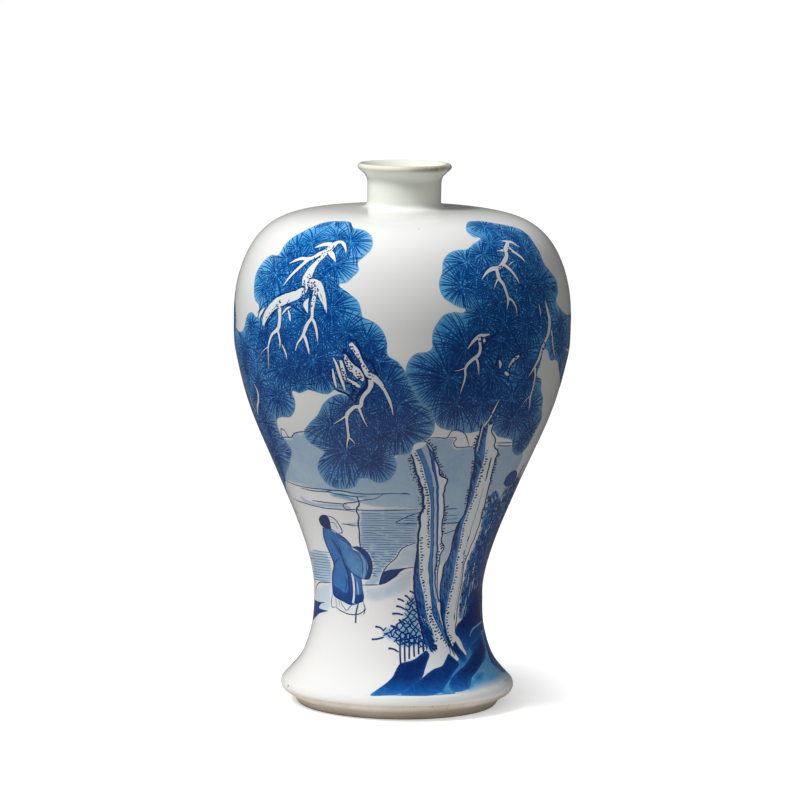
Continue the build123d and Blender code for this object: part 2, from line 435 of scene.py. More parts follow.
class Sheet:
    """A sheet of painting, drawn on the chart and wrapped onto the pot at the end."""

    def __init__(self):
        self.places = []
        self.tones = []
        self.faces = []
        self.count = 0

    def lay(self, chart, faces, lift, tones):
        self.places.append(np.column_stack([chart, np.full(len(chart), lift)]))
        self.tones.append(np.broadcast_to(tones, len(chart)))
        self.faces += [[corner + self.count for corner in face] for face in faces]
        self.count += len(chart)

    def stroke(self, way, width, tone=0.9, lift=0.08 * MM, thin=(0.4, 0.4), step=1.4 * MM, aside=0.0):
        """A brush stroke. Width, lift and aside are in metres. A pair gives the values at its two ends."""
        way = np.asarray(way, float)
        scale = float(radius_at(way[:, 1].mean()))
        way = smooth_way(way * (scale, 1), step)
        corners, faces = grid(len(way) - 1, 1)
        share = corners[:, 0]
        index = np.rint(share * (len(way) - 1)).astype(int)
        heading = np.gradient(way, axis=0)
        heading /= np.linalg.norm(heading, axis=1, keepdims=True) + 1e-12
        wide = np.interp(share, [0, 1], width if isinstance(width, tuple) else (width, width))
        wide = wide * np.interp(share, [0, 0.18, 0.82, 1], [thin[0], 1, 1, thin[1]])
        off = np.interp(share, [0, 1], aside if isinstance(aside, tuple) else (aside, aside))
        off = off + (corners[:, 1] - 0.5) * wide
        places = way[index] + np.stack([-heading[index, 1], heading[index, 0]], axis=1) * off[:, None]
        tones = np.interp(share, [0, 1], tone if isinstance(tone, tuple) else (tone, tone))
        self.lay(places / (scale, 1), faces, lift, tones)

    def ribbon(self, left, right, tones, lift, across=8, step=1.6 * MM):
        """A wash between two edges, with a row of tones across it."""
        scale = (float(radius_at(np.asarray(left)[:, 1].mean())), 1)
        edges = [smooth_way(np.asarray(edge) * scale, step) for edge in (left, right)]
        along = max(len(edge) for edge in edges) - 1
        corners, faces = grid(along, across)
        sides = []
        for edge in edges:
            shares = np.linspace(0, 1, len(edge))
            sides.append(np.stack([np.interp(corners[:, 0], shares, edge[:, axis]) for axis in (0, 1)], axis=1))
        places = sides[0] + (sides[1] - sides[0]) * corners[:, 1:]
        shades = np.interp(corners[:, 1], np.linspace(0, 1, len(tones)), tones)
        self.lay(places / scale, faces, lift, shades)

    def wash(self, edge, tone, lift=0.04 * MM, longest=2.4 * MM, smooth=True):
        """A filled outline. Tone may be a function of places and the distance to the edge, in metres."""
        edge = np.asarray(edge, float)
        scale = (float(radius_at(edge[:, 1].mean())), 1)
        edge = np.concatenate([edge, edge[:1]]) * scale
        edge = smooth_way(edge, 0.9 * MM)[:-1] if smooth else edge[:-1]
        flat = bmesh.new()
        rim = [flat.verts.new((x, y, 0)) for x, y in edge]
        sides = [flat.edges.new(pair) for pair in zip(rim, rim[1:] + rim[:1])]
        bmesh.ops.triangle_fill(flat, edges=sides, use_beauty=True)
        for _ in range(8):
            long = [side for side in flat.edges if side.calc_length() > longest]
            if not long:
                break
            bmesh.ops.subdivide_edges(flat, edges=long, cuts=1)
            bmesh.ops.triangulate(flat, faces=flat.faces)
        bmesh.ops.recalc_face_normals(flat, faces=flat.faces)
        flat.verts.index_update()
        places = np.array([corner.co[:2] for corner in flat.verts])
        faces = [[corner.index for corner in (face.verts if face.normal.z > 0 else reversed(face.verts))] for face in flat.faces]
        flat.free()
        if callable(tone):
            apart = np.array([np.linalg.norm(edge - place, axis=1).min() for place in places])
            tone = tone(places / scale, apart)
        self.lay(places / scale, faces, lift, tone)

    def dot(self, place, size, tone=0.9, lift=0.12 * MM, sides=6):
        turns = np.arange(sides) * 2 * math.pi / sides
        ring = np.stack([np.cos(turns), np.sin(turns)], axis=1) * size / 2
        self.lay(np.asarray(place) + ring / (float(radius_at(place[1])), 1), [list(range(sides))], lift, tone)

    def dry(self, name, material):
        """Wrap the sheet onto the pot and make it a piece."""
        chart = np.concatenate(self.places)
        places, facing = wrapped(chart[:, 0], np.clip(chart[:, 1], 0, way_up[-1]), chart[:, 2])
        mesh = bpy.data.meshes.new(name)
        mesh.from_pydata(places.tolist(), [], self.faces)
        mesh.attributes.new("tone", "FLOAT", "POINT").data.foreach_set("value", np.concatenate(self.tones).astype(np.float32))
        mesh.polygons.foreach_set("use_smooth", [True] * len(mesh.polygons))
        mesh.validate()
        if len(mesh.vertices) == len(facing):
            mesh.normals_split_custom_set_from_vertices(facing)
        mesh.materials.append(material)
        piece = bpy.data.objects.new(name, mesh)
        bpy.context.scene.collection.objects.link(piece)
        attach(piece, "root")
        print(name, "has", sum(len(face.vertices) - 2 for face in mesh.polygons), "triangles")
        return piece


# %% [markdown]
# ## Cobalt under glaze
# The same pigment looks different from place to place. Thin washes are pale and a little grey,
# strong ones are deep, and on this pot the crowns high on the shoulder fired a bright azure while
# the middle came out a darker, inkier blue. Part of that difference is painted light and shade:
# the middle of the belly faces down and gets less light, so its inkier row is partly painted shade,
# and the azure of the shoulder, which faces up, is partly painted light. So two rows of colours are
# mixed by height, each from bare glaze to full pigment, and a fine noise moves the tone a little,
# because no wash is even.

# %% Cobalt
def ramp(finish, tone, stops):
    """A row of colours along the tone."""
    colour = finish.mixed(tone.rise(stops[0][0], stops[1][0]), stops[0][1], stops[1][1])
    for (low, _), (high, shade) in zip(stops[1:], stops[2:]):
        colour = finish.mixed(tone.rise(low, high), colour, shade)
    return colour


def cobalt_finish(name, netted=0.0):
    """Cobalt under the glaze. A netted wash is broken into small lighter cells where it is deep."""
    finish = Finish(name)
    glaze_surface(finish)
    painted = finish.node("ShaderNodeAttribute", output="Fac", attribute_name="tone")
    grain = (finish.noise(420, detail=3.0) - 0.5) * 0.16 + (finish.noise(70) - 0.5) * 0.22
    tone = painted + grain * painted.rise(0.02, 0.3)
    if netted:
        cells = finish.node("ShaderNodeTexVoronoi", {"Vector": finish.place, "Scale": 720}, output="Distance", feature="DISTANCE_TO_EDGE")
        tone = tone + (0.42 - cells.rise(0.02, 0.3)) * painted.rise(0.38, 0.52) * netted
    azure = ramp(finish, tone, [
        (0.0, GLAZE_WHITE), (0.16, (180, 211, 232)), (0.38, (78, 168, 224)), (0.55, (14, 116, 194)), (0.75, (0, 80, 160)), (1.0, (0, 42, 110)),
    ])
    inky_and_shaded = ramp(finish, tone, [
        (0.0, GLAZE_WHITE), (0.16, (178, 199, 214)), (0.38, (104, 156, 200)), (0.55, (54, 116, 180)), (0.75, (26, 78, 148)), (1.0, (10, 36, 94)),
    ])
    # The azure share high up is partly painted light, and the inky row of the belly partly painted shade.
    high_up_and_lit = finish.height.rise(0.150, 0.205)
    low_down = 1 - finish.height.rise(0.030, 0.075)
    finish.set(base_color=finish.mixed(high_up_and_lit + low_down * 0.55, inky_and_shaded, azure))
    return finish.material


cobalt = cobalt_finish("cobalt under glaze")
crown_cobalt = cobalt_finish("cobalt of the crowns", netted=0.3)
print("cobalt made")

# %% [markdown]
# ## Pine crowns
# A crown is one wash with a lobed rim, and over it go hundreds of needles. They spread from the
# middle of each lobe to its rim, where they stand apart and the wash between them is pale. Inside,
# the needles of neighbouring lobes cross and make a dark net. The rims and the middles of the
# lobes are places read from the picture; the needles themselves are strokes of the brush that
# stop where they reach the rim.

# %% Needles and crowns
def within(rim, places):
    """Which places of the chart lie inside a closed rim."""
    start, end = rim, np.roll(rim, -1, axis=0)
    above = (start[None, :, 1] > places[:, None, 1]) != (end[None, :, 1] > places[:, None, 1])
    share = (places[:, None, 1] - start[None, :, 1]) / (end[None, :, 1] - start[None, :, 1] + 1e-15)
    crossing = start[None, :, 0] + share * (end[None, :, 0] - start[None, :, 0])
    return (above & (places[:, None, 0] < crossing)).sum(axis=1) % 2 == 1


def fan(sheet, lobe, lobes, rim, draw, spacing=1.65 * MM):
    """Needles from the middle of a lobe out to the rim, or to where the next lobe begins."""
    centres, sizes, scale = lobes
    (angle, up), radius = centres[lobe], sizes[lobe]
    count = max(14, round(2 * math.pi * radius / spacing))
    shares = np.linspace(0, 1, 25)
    tips = []
    for needle in range(count):
        way = 2 * math.pi * (needle + draw.uniform(-0.3, 0.3)) / count
        bow = draw.uniform(0.1, 0.5) * math.copysign(1, math.cos(way))
        first = radius * draw.uniform(0.02, 0.36)
        along = first + shares * (radius * 1.7 - first)
        heading = way - bow * shares
        places = np.stack([along * np.cos(heading), along * np.sin(heading)], axis=1)
        chart = np.stack([angle + places[:, 0] / radius_at(up + places[:, 1]), up + places[:, 1]], axis=1)
        nearness = np.linalg.norm((chart[:, None] - centres[None]) * scale, axis=2) / sizes[None]
        own = nearness[:, lobe].copy()
        nearness[:, lobe] = np.inf
        crossed = own > nearness.min(axis=1) + draw.uniform(0.05, 0.55)
        out = np.flatnonzero(crossed | ~within(rim, chart))
        last = out[0] - 1 if len(out) else 24
        if last < 3:
            continue
        chosen = np.linspace(0, last, 4).round().astype(int)
        width = draw.uniform(0.38, 0.54) * MM
        sheet.stroke(chart[chosen], width, tone=(0.9, 0.8), lift=0.075 * MM, thin=(0.5, 0.5), step=2.2 * MM)
        tips.append(chart[last])
    return tips


def fringe(sheet, rim, lobes, tips, draw):
    """Short bowed needles along the rim, where no needle of a fan has reached it."""
    centres, sizes, scale = lobes
    for place in rim:
        if np.linalg.norm((tips - place) * scale, axis=1).min() < 1.5 * MM:
            continue
        nearness = np.linalg.norm((centres - place) * scale, axis=1) / sizes
        inwards = (centres[nearness.argmin()] - place) * scale
        reach = np.linalg.norm(inwards)
        length = min(draw.uniform(5, 9) * MM, reach * 0.8)
        heading = inwards / reach
        aside = np.array([-heading[1], heading[0]]) * draw.uniform(0.3, 0.9) * MM
        steps = np.array([heading * length, heading * length * 0.5 + aside, heading * 0.3 * MM])
        width = draw.uniform(0.38, 0.54) * MM
        if not within(rim, place + heading / scale * length * np.linspace(0.15, 1, 8)[:, None]).all():
            continue
        sheet.stroke(place + steps / scale, width, tone=(0.9, 0.8), lift=0.075 * MM, thin=(0.5, 0.5), step=2.2 * MM)


def crown(washes, needles, rim, lobes, draw):
    """A crown of pine needles: one wash, and a fan of needles for each lobe."""
    centres = np.array([centre for centre, _ in lobes])
    sizes = np.array([size for _, size in lobes])
    scale = (float(radius_at(rim[:, 1].mean())), 1)
    outline = smooth_way(np.concatenate([rim, rim[:1]]) * scale, 1.2 * MM)[:-1] / scale

    def depth_of_colour(places, apart):
        near = np.linalg.norm((places[:, None] - centres[None]) * scale, axis=2) / sizes[None]
        middle = np.exp(-((near.min(axis=1) / 0.55) ** 2))
        # Painted light: the wash grows paler high on the shoulder, which faces up and gets the most light.
        paler_where_lit = 0.04 * np.clip((places[:, 1] - up_at(0.19)) / (40 * MM), 0, 1)
        return 0.34 - paler_where_lit + (0.18 - paler_where_lit) * np.clip(apart / (8 * MM), 0, 1) + (0.1 - paler_where_lit) * middle

    washes.wash(rim, depth_of_colour)
    tips = []
    for lobe in range(len(lobes)):
        tips += fan(needles, lobe, (centres, sizes, scale), outline, draw)
    fringe(needles, outline, (centres, sizes, scale), np.array(tips), draw)


left_rim = [
    (336, 221), (350, 222), (354, 228), (364, 230), (372, 237), (373, 244), (371, 250), (364, 257), (358, 263), (359, 270), (353, 277),
    (346, 283), (339, 284), (350, 294), (358, 301), (361, 309), (363, 317), (370, 320), (378, 325), (384, 333), (387, 342), (388, 355),
    (398, 362), (405, 371), (410, 382), (415, 393), (423, 404), (431, 410), (435, 421), (433, 433), (425, 441), (415, 444), (410, 453),
    (402, 455), (395, 456), (397, 465), (395, 473), (387, 481), (378, 483), (369, 479), (360, 479), (355, 487), (344, 489), (332, 487),
    (323, 480), (318, 470), (319, 460), (324, 452), (318, 448), (308, 441), (304, 433), (308, 425), (318, 414), (323, 404), (331, 397),
    (341, 394), (347, 395.5), (342, 391), (336, 389.5), (328, 394), (319, 393), (310, 390), (299, 393), (292, 391), (295, 400), (295, 409),
    (290, 417), (282, 417), (277, 420), (279, 430), (286, 441), (291, 449), (290, 462), (286, 475),
]
left_rim_side = [(-96, 102), (-104, 116), (-101, 132), (-110, 146), (-106, 160), (-112, 172), (-104, 186), (-92, 192)]
left_rim_top = [
    (244, 328), (248, 314), (252, 312), (257, 317), (259, 306), (255, 300), (254, 287), (256, 274), (263, 262), (271, 255), (279, 254),
    (284, 246), (292, 238), (304, 231), (314, 226), (326, 222),
]
left_lobes = [
    (350, 242, 23), (336, 238, 17), (312, 242, 16), (296, 249, 15), (276, 275, 22), (286, 259, 18), (265, 290, 14), (292, 285, 18),
    (334, 265, 25), (326, 278, 18), (331, 309, 31), (339, 290, 14), (307, 317, 20), (252, 326, 13), (245, 349, 16), (366, 342, 22),
    (346, 333, 22), (323, 336, 20), (286, 336, 20), (264, 336, 18), (272, 352, 18), (302, 349, 20), (282, 370, 22), (312, 361, 31),
    (323, 374, 20), (296, 366, 26), (279, 397, 20), (259, 384, 16), (246, 367, 14), (266, 424, 15), (276, 455, 22), (272, 437, 14),
    (387, 385, 26), (379, 363, 22), (373, 354, 18), (398, 429, 36), (399, 404, 27), (366, 397, 22), (331, 426, 27), (346, 408, 18),
    (346, 452, 36), (371, 461, 28), (359, 430, 24), (379, 433, 24), (300, 262, 18), (312, 285, 20), (318, 255, 16), (385, 410, 22),
    (300, 385, 16), (350, 360, 20), (258, 400, 16),
]
left_lobes_side = [(-98, 112, 13), (-100, 132, 12), (-104, 152, 12), (-103, 170, 12), (-92, 184, 10), (-90, 140, 12), (-91, 160, 12)]
right_rim = [
    (471, 221), (482, 221), (494, 223), (505, 225), (517, 228), (526, 233), (534, 243), (540, 253), (544, 263), (550, 271), (556, 280),
    (558, 291), (556, 301), (560, 308), (566, 314),
]
right_rim_side = [(92, 196), (100, 186), (102, 174), (96, 164), (90, 160)]
right_rim_low = [
    (559, 371), (556, 360), (550, 360), (547, 350), (544, 349), (541, 361), (537, 376), (541, 379), (541, 390), (543, 399), (542, 408),
    (541, 420), (536, 430), (532, 438), (527, 447), (521, 454), (515, 455), (512, 450), (512, 441), (503, 438), (497, 436), (494, 432),
    (489, 427), (485, 422), (481, 430), (475, 432), (466, 433), (456, 431), (447, 430), (439, 427), (434.5, 421), (430.5, 411), (422.5, 404.5),
    (414.5, 393.5), (409.5, 382.5), (405.5, 373), (406, 368), (409, 360), (417, 353), (426, 352), (432, 348), (432, 342), (433, 331), (438, 322),
    (444, 315), (454, 312), (464, 312), (466, 310), (458, 307), (451, 303), (444, 298), (440, 291), (439, 282), (442, 272), (443, 261),
    (448, 254), (457, 250), (467, 249), (473, 244), (480, 238), (473, 237), (467, 232), (466, 226), (468, 222),
]
right_lobes = [
    (485, 226, 20), (501, 228, 15), (514, 237, 16), (528, 238, 12), (526, 253, 20), (537, 261, 14), (491, 245, 20), (482, 255, 24),
    (466, 263, 24), (462, 287, 25), (477, 277, 22), (488, 284, 20), (500, 275, 20), (517, 264, 20), (526, 284, 24), (540, 284, 20),
    (544, 293, 16), (517, 301, 22), (500, 302, 22), (482, 316, 22), (505, 324, 26), (528, 324, 22), (560, 324, 13), (466, 348, 36),
    (448, 379, 42), (456, 404, 30), (482, 404, 26), (473, 399, 20), (500, 342, 26), (482, 352, 24), (527, 381, 20), (512, 399, 22),
    (512, 420, 30), (528, 410, 18), (528, 433, 20), (521, 445, 14), (522, 352, 20), (560, 346, 16), (494, 375, 26), (532, 369, 16),
    (470, 375, 24), (540, 310, 18), (495, 400, 22),
]
right_lobes_side = [(92, 184, 11), (94, 170, 9)]

draw = random.Random(11)
crown_washes, crown_needles = Sheet(), Sheet()


def lobes_of(front, side):
    found = [(touched(column, row), size * DOT) for column, row, size in front]
    return found + [(behind((degrees, height))[0], size * MM) for degrees, height, size in side]


rim = np.concatenate([seen(*left_rim), behind(*left_rim_side), seen(*left_rim_top)])
crown(crown_washes, crown_needles, rim, lobes_of(left_lobes, left_lobes_side), draw)
rim = np.concatenate([seen(*right_rim), behind(*right_rim_side), seen(*right_rim_low)])
crown(crown_washes, crown_needles, rim, lobes_of(right_lobes, right_lobes_side), draw)
# %% [markdown]
# ## Bare branches
# Between the needles the painter has left branches white: the brush goes round them, then a dark
# line follows each side, and dots and short dashes stand for the bark. Painting the other way
# round is easier here. A shape of bare glaze goes over the needles, and its lines and dots over
# that. A branch thickens and thins along its way, as if it had knots.

# %% Branches
def sides_of(way, draw, knots=0.1):
    """Both edges of a branch. Each place of its way is a column, a row and a width in dots of the picture."""
    way = np.asarray(way, float)
    scale = (float(radius_at(way[:, 1].mean())), 1)
    marks = way[:, :2] * scale
    widths = way[:, 2]
    fine = smooth_way(marks, 1.3 * MM)
    shares = np.concatenate([[0], np.cumsum(np.linalg.norm(np.diff(marks, axis=0), axis=1))])
    heading = np.gradient(fine, axis=0)
    heading /= np.linalg.norm(heading, axis=1, keepdims=True) + 1e-12
    normal = np.stack([-heading[:, 1], heading[:, 0]], axis=1)
    half = np.interp(np.linspace(0, shares[-1], len(fine)), shares, widths) / 2
    left, right = (half * np.array([1 + draw.uniform(-knots, knots) for _ in fine]) for _ in range(2))
    return fine, normal, left, right, scale


def branch(bodies, shades, way, draw):
    """A white branch, with the dark line that the brush has drawn round it."""
    middle, normal, left, right, scale = sides_of(way, draw)
    for sheet, more, tone, lift in ((shades, 0.42 * MM, 0.97, 0.088 * MM), (bodies, 0, 0.03, 0.105 * MM)):
        one = (middle - normal * (right[:, None] + more)) / scale
        two = (middle + normal * (left[:, None] + more)) / scale
        sheet.ribbon(one, two, (tone, tone), lift, across=4, step=1.3 * MM)


def with_widths(places, widths):
    """Chart points and a width in dots of the picture for each."""
    return np.column_stack([places, np.asarray(widths) * DOT])


def moss(sheet, region, count, draw):
    """Short dark dabs, strewn over a region."""
    low, high = region.min(axis=0), region.max(axis=0)
    scale = (float(radius_at(region[:, 1].mean())), 1)
    made = 0
    while made < count:
        place = np.array([draw.uniform(low[0], high[0]), draw.uniform(low[1], high[1])])
        if within(region, place[None])[0]:
            made += 1
            slant = draw.uniform(0, math.pi)
            reach = np.array([math.cos(slant), math.sin(slant)]) * draw.uniform(0.25, 0.5) * MM / scale
            sheet.stroke([place - reach, place + reach], draw.uniform(0.6, 0.8) * MM, tone=0.95, lift=0.12 * MM, thin=(0.9, 0.8))


branches = [

    [(263.6, 325.1, 3.5), (264.2, 320.9, 6), (266.3, 315.3, 7.4), (270.2, 309.3, 8.8), (275.8, 304, 9.8), (282.1, 300.5, 10.5), (288.4, 298.1, 10.5), (295.4, 295.6, 9.8), (300.4, 292.8, 8.7), (304.6, 289.6, 7.6), (307, 286.4, 5)],
    [(306.5, 283.5, 5), (311.5, 282.6, 8), (316.5, 283.4, 7.5), (320, 286.4, 5)], [(311.5, 284, 6), (314.6, 289.5, 6), (314.9, 296.4, 4.4)],
    [(264.6, 307.9, 1.3), (261.4, 312.5, 3.9), (259.3, 317.4, 2.1), (259.8, 319.8, 0.6)],
    [(279.3, 306.1, 4.9), (279.8, 311.1, 4.8), (279.9, 318.1, 4.6), (279.4, 323.7, 4.2), (278.2, 328.9, 4.1), (275.1, 331.5, 3.4), (271.6, 335.3, 2.8), (269.8, 340.5, 2.4), (268.4, 346.8, 2), (268.4, 353.2, 1.2), (268.6, 360.2, 0.9), (268.8, 368.6, 0.4)],
    [(277.9, 330, 2.8), (278.8, 334.2, 2.4), (280, 340.5, 2.4), (280.1, 347.5, 0.7)], [(267.9, 347, 1), (264.6, 349.6, 0.7), (261.1, 353.9, 0.3)],
    [(282, 344.4, 0.8), (284.4, 349.6, 2), (286.3, 354.6, 1.7), (286.9, 359.5, 0.4)],
    [(282.2, 314.7, 0.7), (284.1, 311.6, 2.2), (286.9, 308.6, 2.5), (290.9, 306.5, 1.7)],
    [(288.3, 310, 1.1), (289.5, 313.9, 2.8), (290, 318.1, 3.2), (290.4, 321.2, 0.7)],
    [(308.8, 298.3, 0.7), (307, 301.2, 4.2), (305.6, 304.4, 6.7), (306.5, 308.2, 4.4), (307.8, 312.8, 0.7)],
    [(314.7, 295.6, 4.2), (313, 304, 4.6), (312.3, 311.1, 3.6), (311.7, 318.1, 3.2), (309.1, 321.6, 3.2), (305.6, 327.9, 4.1), (303.7, 333.9, 3.6), (301.1, 338.4, 2.4), (297.5, 343.3, 1.8), (295.6, 350.7, 0.6)],
    [(303.5, 334.2, 2.8), (305.4, 338.4, 3.5), (307.2, 344.7, 2.9), (308.8, 351.1, 2), (309.2, 354.2, 0.4)],
    [(312.1, 318.8, 2.8), (314, 321.6, 3.4), (315.8, 327.2, 2.9), (317.1, 334.2, 2.4), (317.6, 342.3, 0.4)],
    [(305.3, 288.7, 5.7), (305.3, 282, 7.7), (308.2, 275.3, 9.6), (311.6, 269.5, 7.8), (314.9, 264.8, 5), (319.2, 260, 4.2), (323.5, 256.1, 4.2), (326.4, 252.8, 5.7), (330.7, 248, 7.7), (335, 244.2, 6.7), (337.9, 242.3, 4), (341.2, 242, 3.4), (344.1, 244.7, 3.8), (345.7, 249, 2.1), (346, 253.1, 0.5)],
    [(331.7, 244.2, 4.8), (324, 244.5, 4.3), (319.2, 246.1, 3.3), (315.2, 247.7, 0.8)],
    [(326.9, 251.8, 6.7), (320.2, 253.8, 4.4), (313.5, 257.6, 4), (307.7, 259.2, 4.4), (302, 258.5, 3.3), (296.2, 260.3, 2.9), (289.7, 263.3, 0.6)],
    [(308.2, 259.5, 4.4), (302.5, 264.8, 3.6), (296.2, 270.5, 3.3), (290.5, 276.2, 2.7), (286.7, 281, 1.9), (283.6, 285.6, 0.6)],
    [(329.3, 250.4, 3.8), (331.7, 254.2, 5.9), (334, 258.1, 3.4), (335.5, 261.9, 0.6)],
    [(315.9, 281, 3.8), (319.2, 284.4, 6.3), (321.9, 290.6, 5.6), (324, 297.3, 4), (325.4, 304, 3.1), (326.7, 312.8, 0.6)],
    [(318.1, 291.6, 2.9), (320.6, 298.3, 2.3), (323.5, 304, 1.3), (325, 309.7, 0.6)],
    [(332.6, 368.8, 1.3), (333.8, 376.4, 2.8), (335.3, 383.1, 2.8), (336.6, 387.6, 1.2)],
    [(333.3, 357.8, 1.2), (336.6, 364.8, 2.8), (338.7, 371.5, 3.3), (340.9, 378.1, 3.3), (343.4, 384.7, 3), (345, 390.1, 1.7)],
    [(340.6, 360.3, 2.5), (342.4, 366.5, 4.1), (344, 373.1, 4.3), (346.4, 378.9, 3.6), (351.5, 381.8, 3.6), (356.5, 384.7, 4.1), (360.5, 386.8, 2)],
    [(344.5, 354.5, 2), (346.9, 360.7, 5.6), (350.7, 366.5, 7.9), (355.7, 371.5, 9.3), (360.6, 376.4, 8), (363.5, 380.7, 2.5)],
    [(350.3, 343.3, 3.6), (353.2, 347.4, 5.8), (356.5, 352, 5.1), (359, 356.9, 4.1), (361.5, 361.5, 2.8), (363.9, 366.5, 5), (366.8, 371.9, 6), (369.8, 376, 5.5), (373.9, 376.6, 4.5), (378.5, 380.7, 4.1), (383.4, 386, 1.8)],
    [(371.8, 378.5, 2.3), (378, 383.1, 2.7), (383, 388, 3), (387.2, 395.5, 3.2), (390.1, 402.1, 2.8), (391.8, 407.9, 1.7), (393.1, 415, 0.5)],
    [(370.7, 379.8, 5), (370.7, 386.4, 4.3), (367.7, 391.4, 4.1), (363.9, 395.5, 3.8), (361.6, 400.5, 4.1), (360.6, 406.3, 3.6), (355.2, 406.7, 3.6), (350.7, 410, 3.8), (346.9, 415, 3.8), (346.9, 421.2, 2.7), (347.8, 429.5, 2.5), (348.6, 437, 2.7), (347.4, 441.9, 1.5), (346.9, 448.6, 0.4)],
    [(359, 407.9, 2.8), (361.3, 413.7, 2.3), (363.9, 420, 1.5), (367.4, 426.6, 0.4)], [(345.3, 416.4, 1.8), (340.7, 419.6, 1.2), (333.7, 423.9, 0.4)],
    [(349, 437.6, 1.8), (352.3, 440.3, 1.3), (355.2, 444, 0.4)],
    [(501, 241.1, 0.4), (504.8, 241.1, 2.4), (508.3, 242, 3.6), (511.8, 242.2, 3.1), (515, 244.6, 2.2), (519.6, 247.3, 0.4)],
    [(507.5, 242.5, 3.5), (506.6, 246.8, 5.6), (505.2, 250.3, 4.6), (506.6, 254.5, 4.2), (505.7, 258.7, 4.5), (503.6, 262.2, 4.8), (500.6, 266.4, 4.6), (497.1, 268.6, 4.2), (492.9, 268.6, 4.5), (488.7, 270.8, 3.5), (485.2, 274.3, 2.4), (481.9, 279, 0.4)],
    [(503.4, 250.4, 3.5), (499.9, 250.7, 1.4), (496.8, 251, 0.3)],
    [(508.7, 247.8, 3.5), (513.2, 251.7, 3.5), (517.5, 254.5, 3.1), (521.7, 258, 2.7), (525, 262.2, 0.4)],
    [(504.1, 265, 3.5), (506.9, 267.2, 3.5), (510.4, 270.1, 3.1), (513.9, 274.3, 2.7), (516.8, 278.5, 2.2), (519.4, 283.6, 0.4)],
    [(513.6, 261.4, 0.4), (510.8, 263.2, 1.3), (508.7, 265.4, 0.8)],
    [(496.5, 269.9, 3.9), (497.8, 274.8, 4.4), (499.4, 279.7, 3.9), (502.7, 283.2, 3.5), (504.8, 288.2, 3.1), (506.2, 292.4, 2.7), (507.6, 296.6, 2.9), (508.1, 300.8, 2.5), (507.4, 305, 1.4), (506.8, 309.6, 0.4)],
    [(497.4, 279.4, 2), (495.6, 283.9, 1.4), (493.5, 289.6, 0.3)],
    [(508.7, 298.3, 2.5), (511.8, 300.2, 2.1), (514.6, 304.3, 1.7), (516.4, 309.2, 1.3), (516.9, 315.9, 0.3)],
    [(489.8, 334.2, 1), (484.7, 335.2, 2.9), (479.9, 335.9, 4.5), (475.1, 339.3, 3.2), (471.1, 343.9, 2.2), (467.4, 349.1, 0.4)],
    [(479.1, 337.1, 3.5), (479.9, 343.9, 2.9), (480.3, 349.5, 2.9), (478.3, 355.1, 3.3), (475.1, 357.6, 3.7), (471.1, 360.8, 3.2), (467.1, 364.8, 2.9), (465.1, 368.8, 2.9), (465.4, 374.2, 2.2), (464.3, 380.6, 1.8), (462.3, 387, 1.2), (460.1, 393.8, 0.3)],
    [(464.3, 368.2, 1.1), (459.1, 370.2, 0.7), (454, 371, 0.3)], [(475.9, 357.9, 2.6), (477.8, 363.1, 2.2), (478.4, 368.6, 1.6), (478.8, 375.4, 0.4)],
    [(484, 338.7, 1.6), (484.3, 340.9, 3.3), (483.9, 343.5, 1)], [(499.2, 360.3, 1.4), (500.4, 364.7, 3.5), (499.6, 368.2, 1.1)],
    [(519.7, 355.1, 1.8), (514.6, 358.9, 4), (511, 363.1, 2.4), (508.4, 367.4, 1.3)], [(504.8, 372.2, 2.4), (506.8, 373.8, 3.7), (508.6, 375, 1.6)],
    [(545.2, 300.5, 0.6), (546.3, 306, 3.2), (548, 313, 4.6), (549.4, 320, 5.1), (549.1, 328, 5.6), (548.1, 334.4, 4.5), (546.1, 339.1, 4), (542.9, 345.5, 3.7), (540.9, 351.9, 4), (538.9, 358.3, 4), (535.7, 364.7, 3.2), (531.7, 371.4, 1.8), (528.1, 376.6, 0.3)],
    [(535.1, 367.8, 2.9), (534.9, 375.8, 2.4), (533.7, 383.8, 1.9), (531.7, 391.8, 1.9), (530, 397.4, 2.2), (529.7, 402.9, 1.6), (528.4, 411.3, 0.4)],
    [(529.5, 396.2, 1.3), (524.5, 401.3, 0.6), (521.7, 405.7, 0.3)],
    [(538.6, 303.5, 0.5), (539.8, 309.5, 1.6), (540.4, 316.5, 0.4)],
    [(241.5, 371, 1.5), (243.6, 377, 2), (245, 384, 0.6)], [(250.5, 396, 1.2), (252, 403, 2.2), (256, 412, 1.2)],
    [(254.5, 384, 0.5), (257.6, 391, 2.6), (258.6, 399, 3.2), (257.6, 407, 3), (258, 414.5, 1.6)],
    [(551.2, 330.4, 2.4), (552.3, 339.9, 2.6), (553.1, 347.9, 2.1), (554.4, 355.9, 1.3)],
    [(480.8, 431, 3.7), (485.1, 424.5, 2.1), (489.4, 418.9, 1.8), (493, 411.7, 2.1), (495.8, 406.1, 1.4), (499.2, 399.7, 0.6)],
]
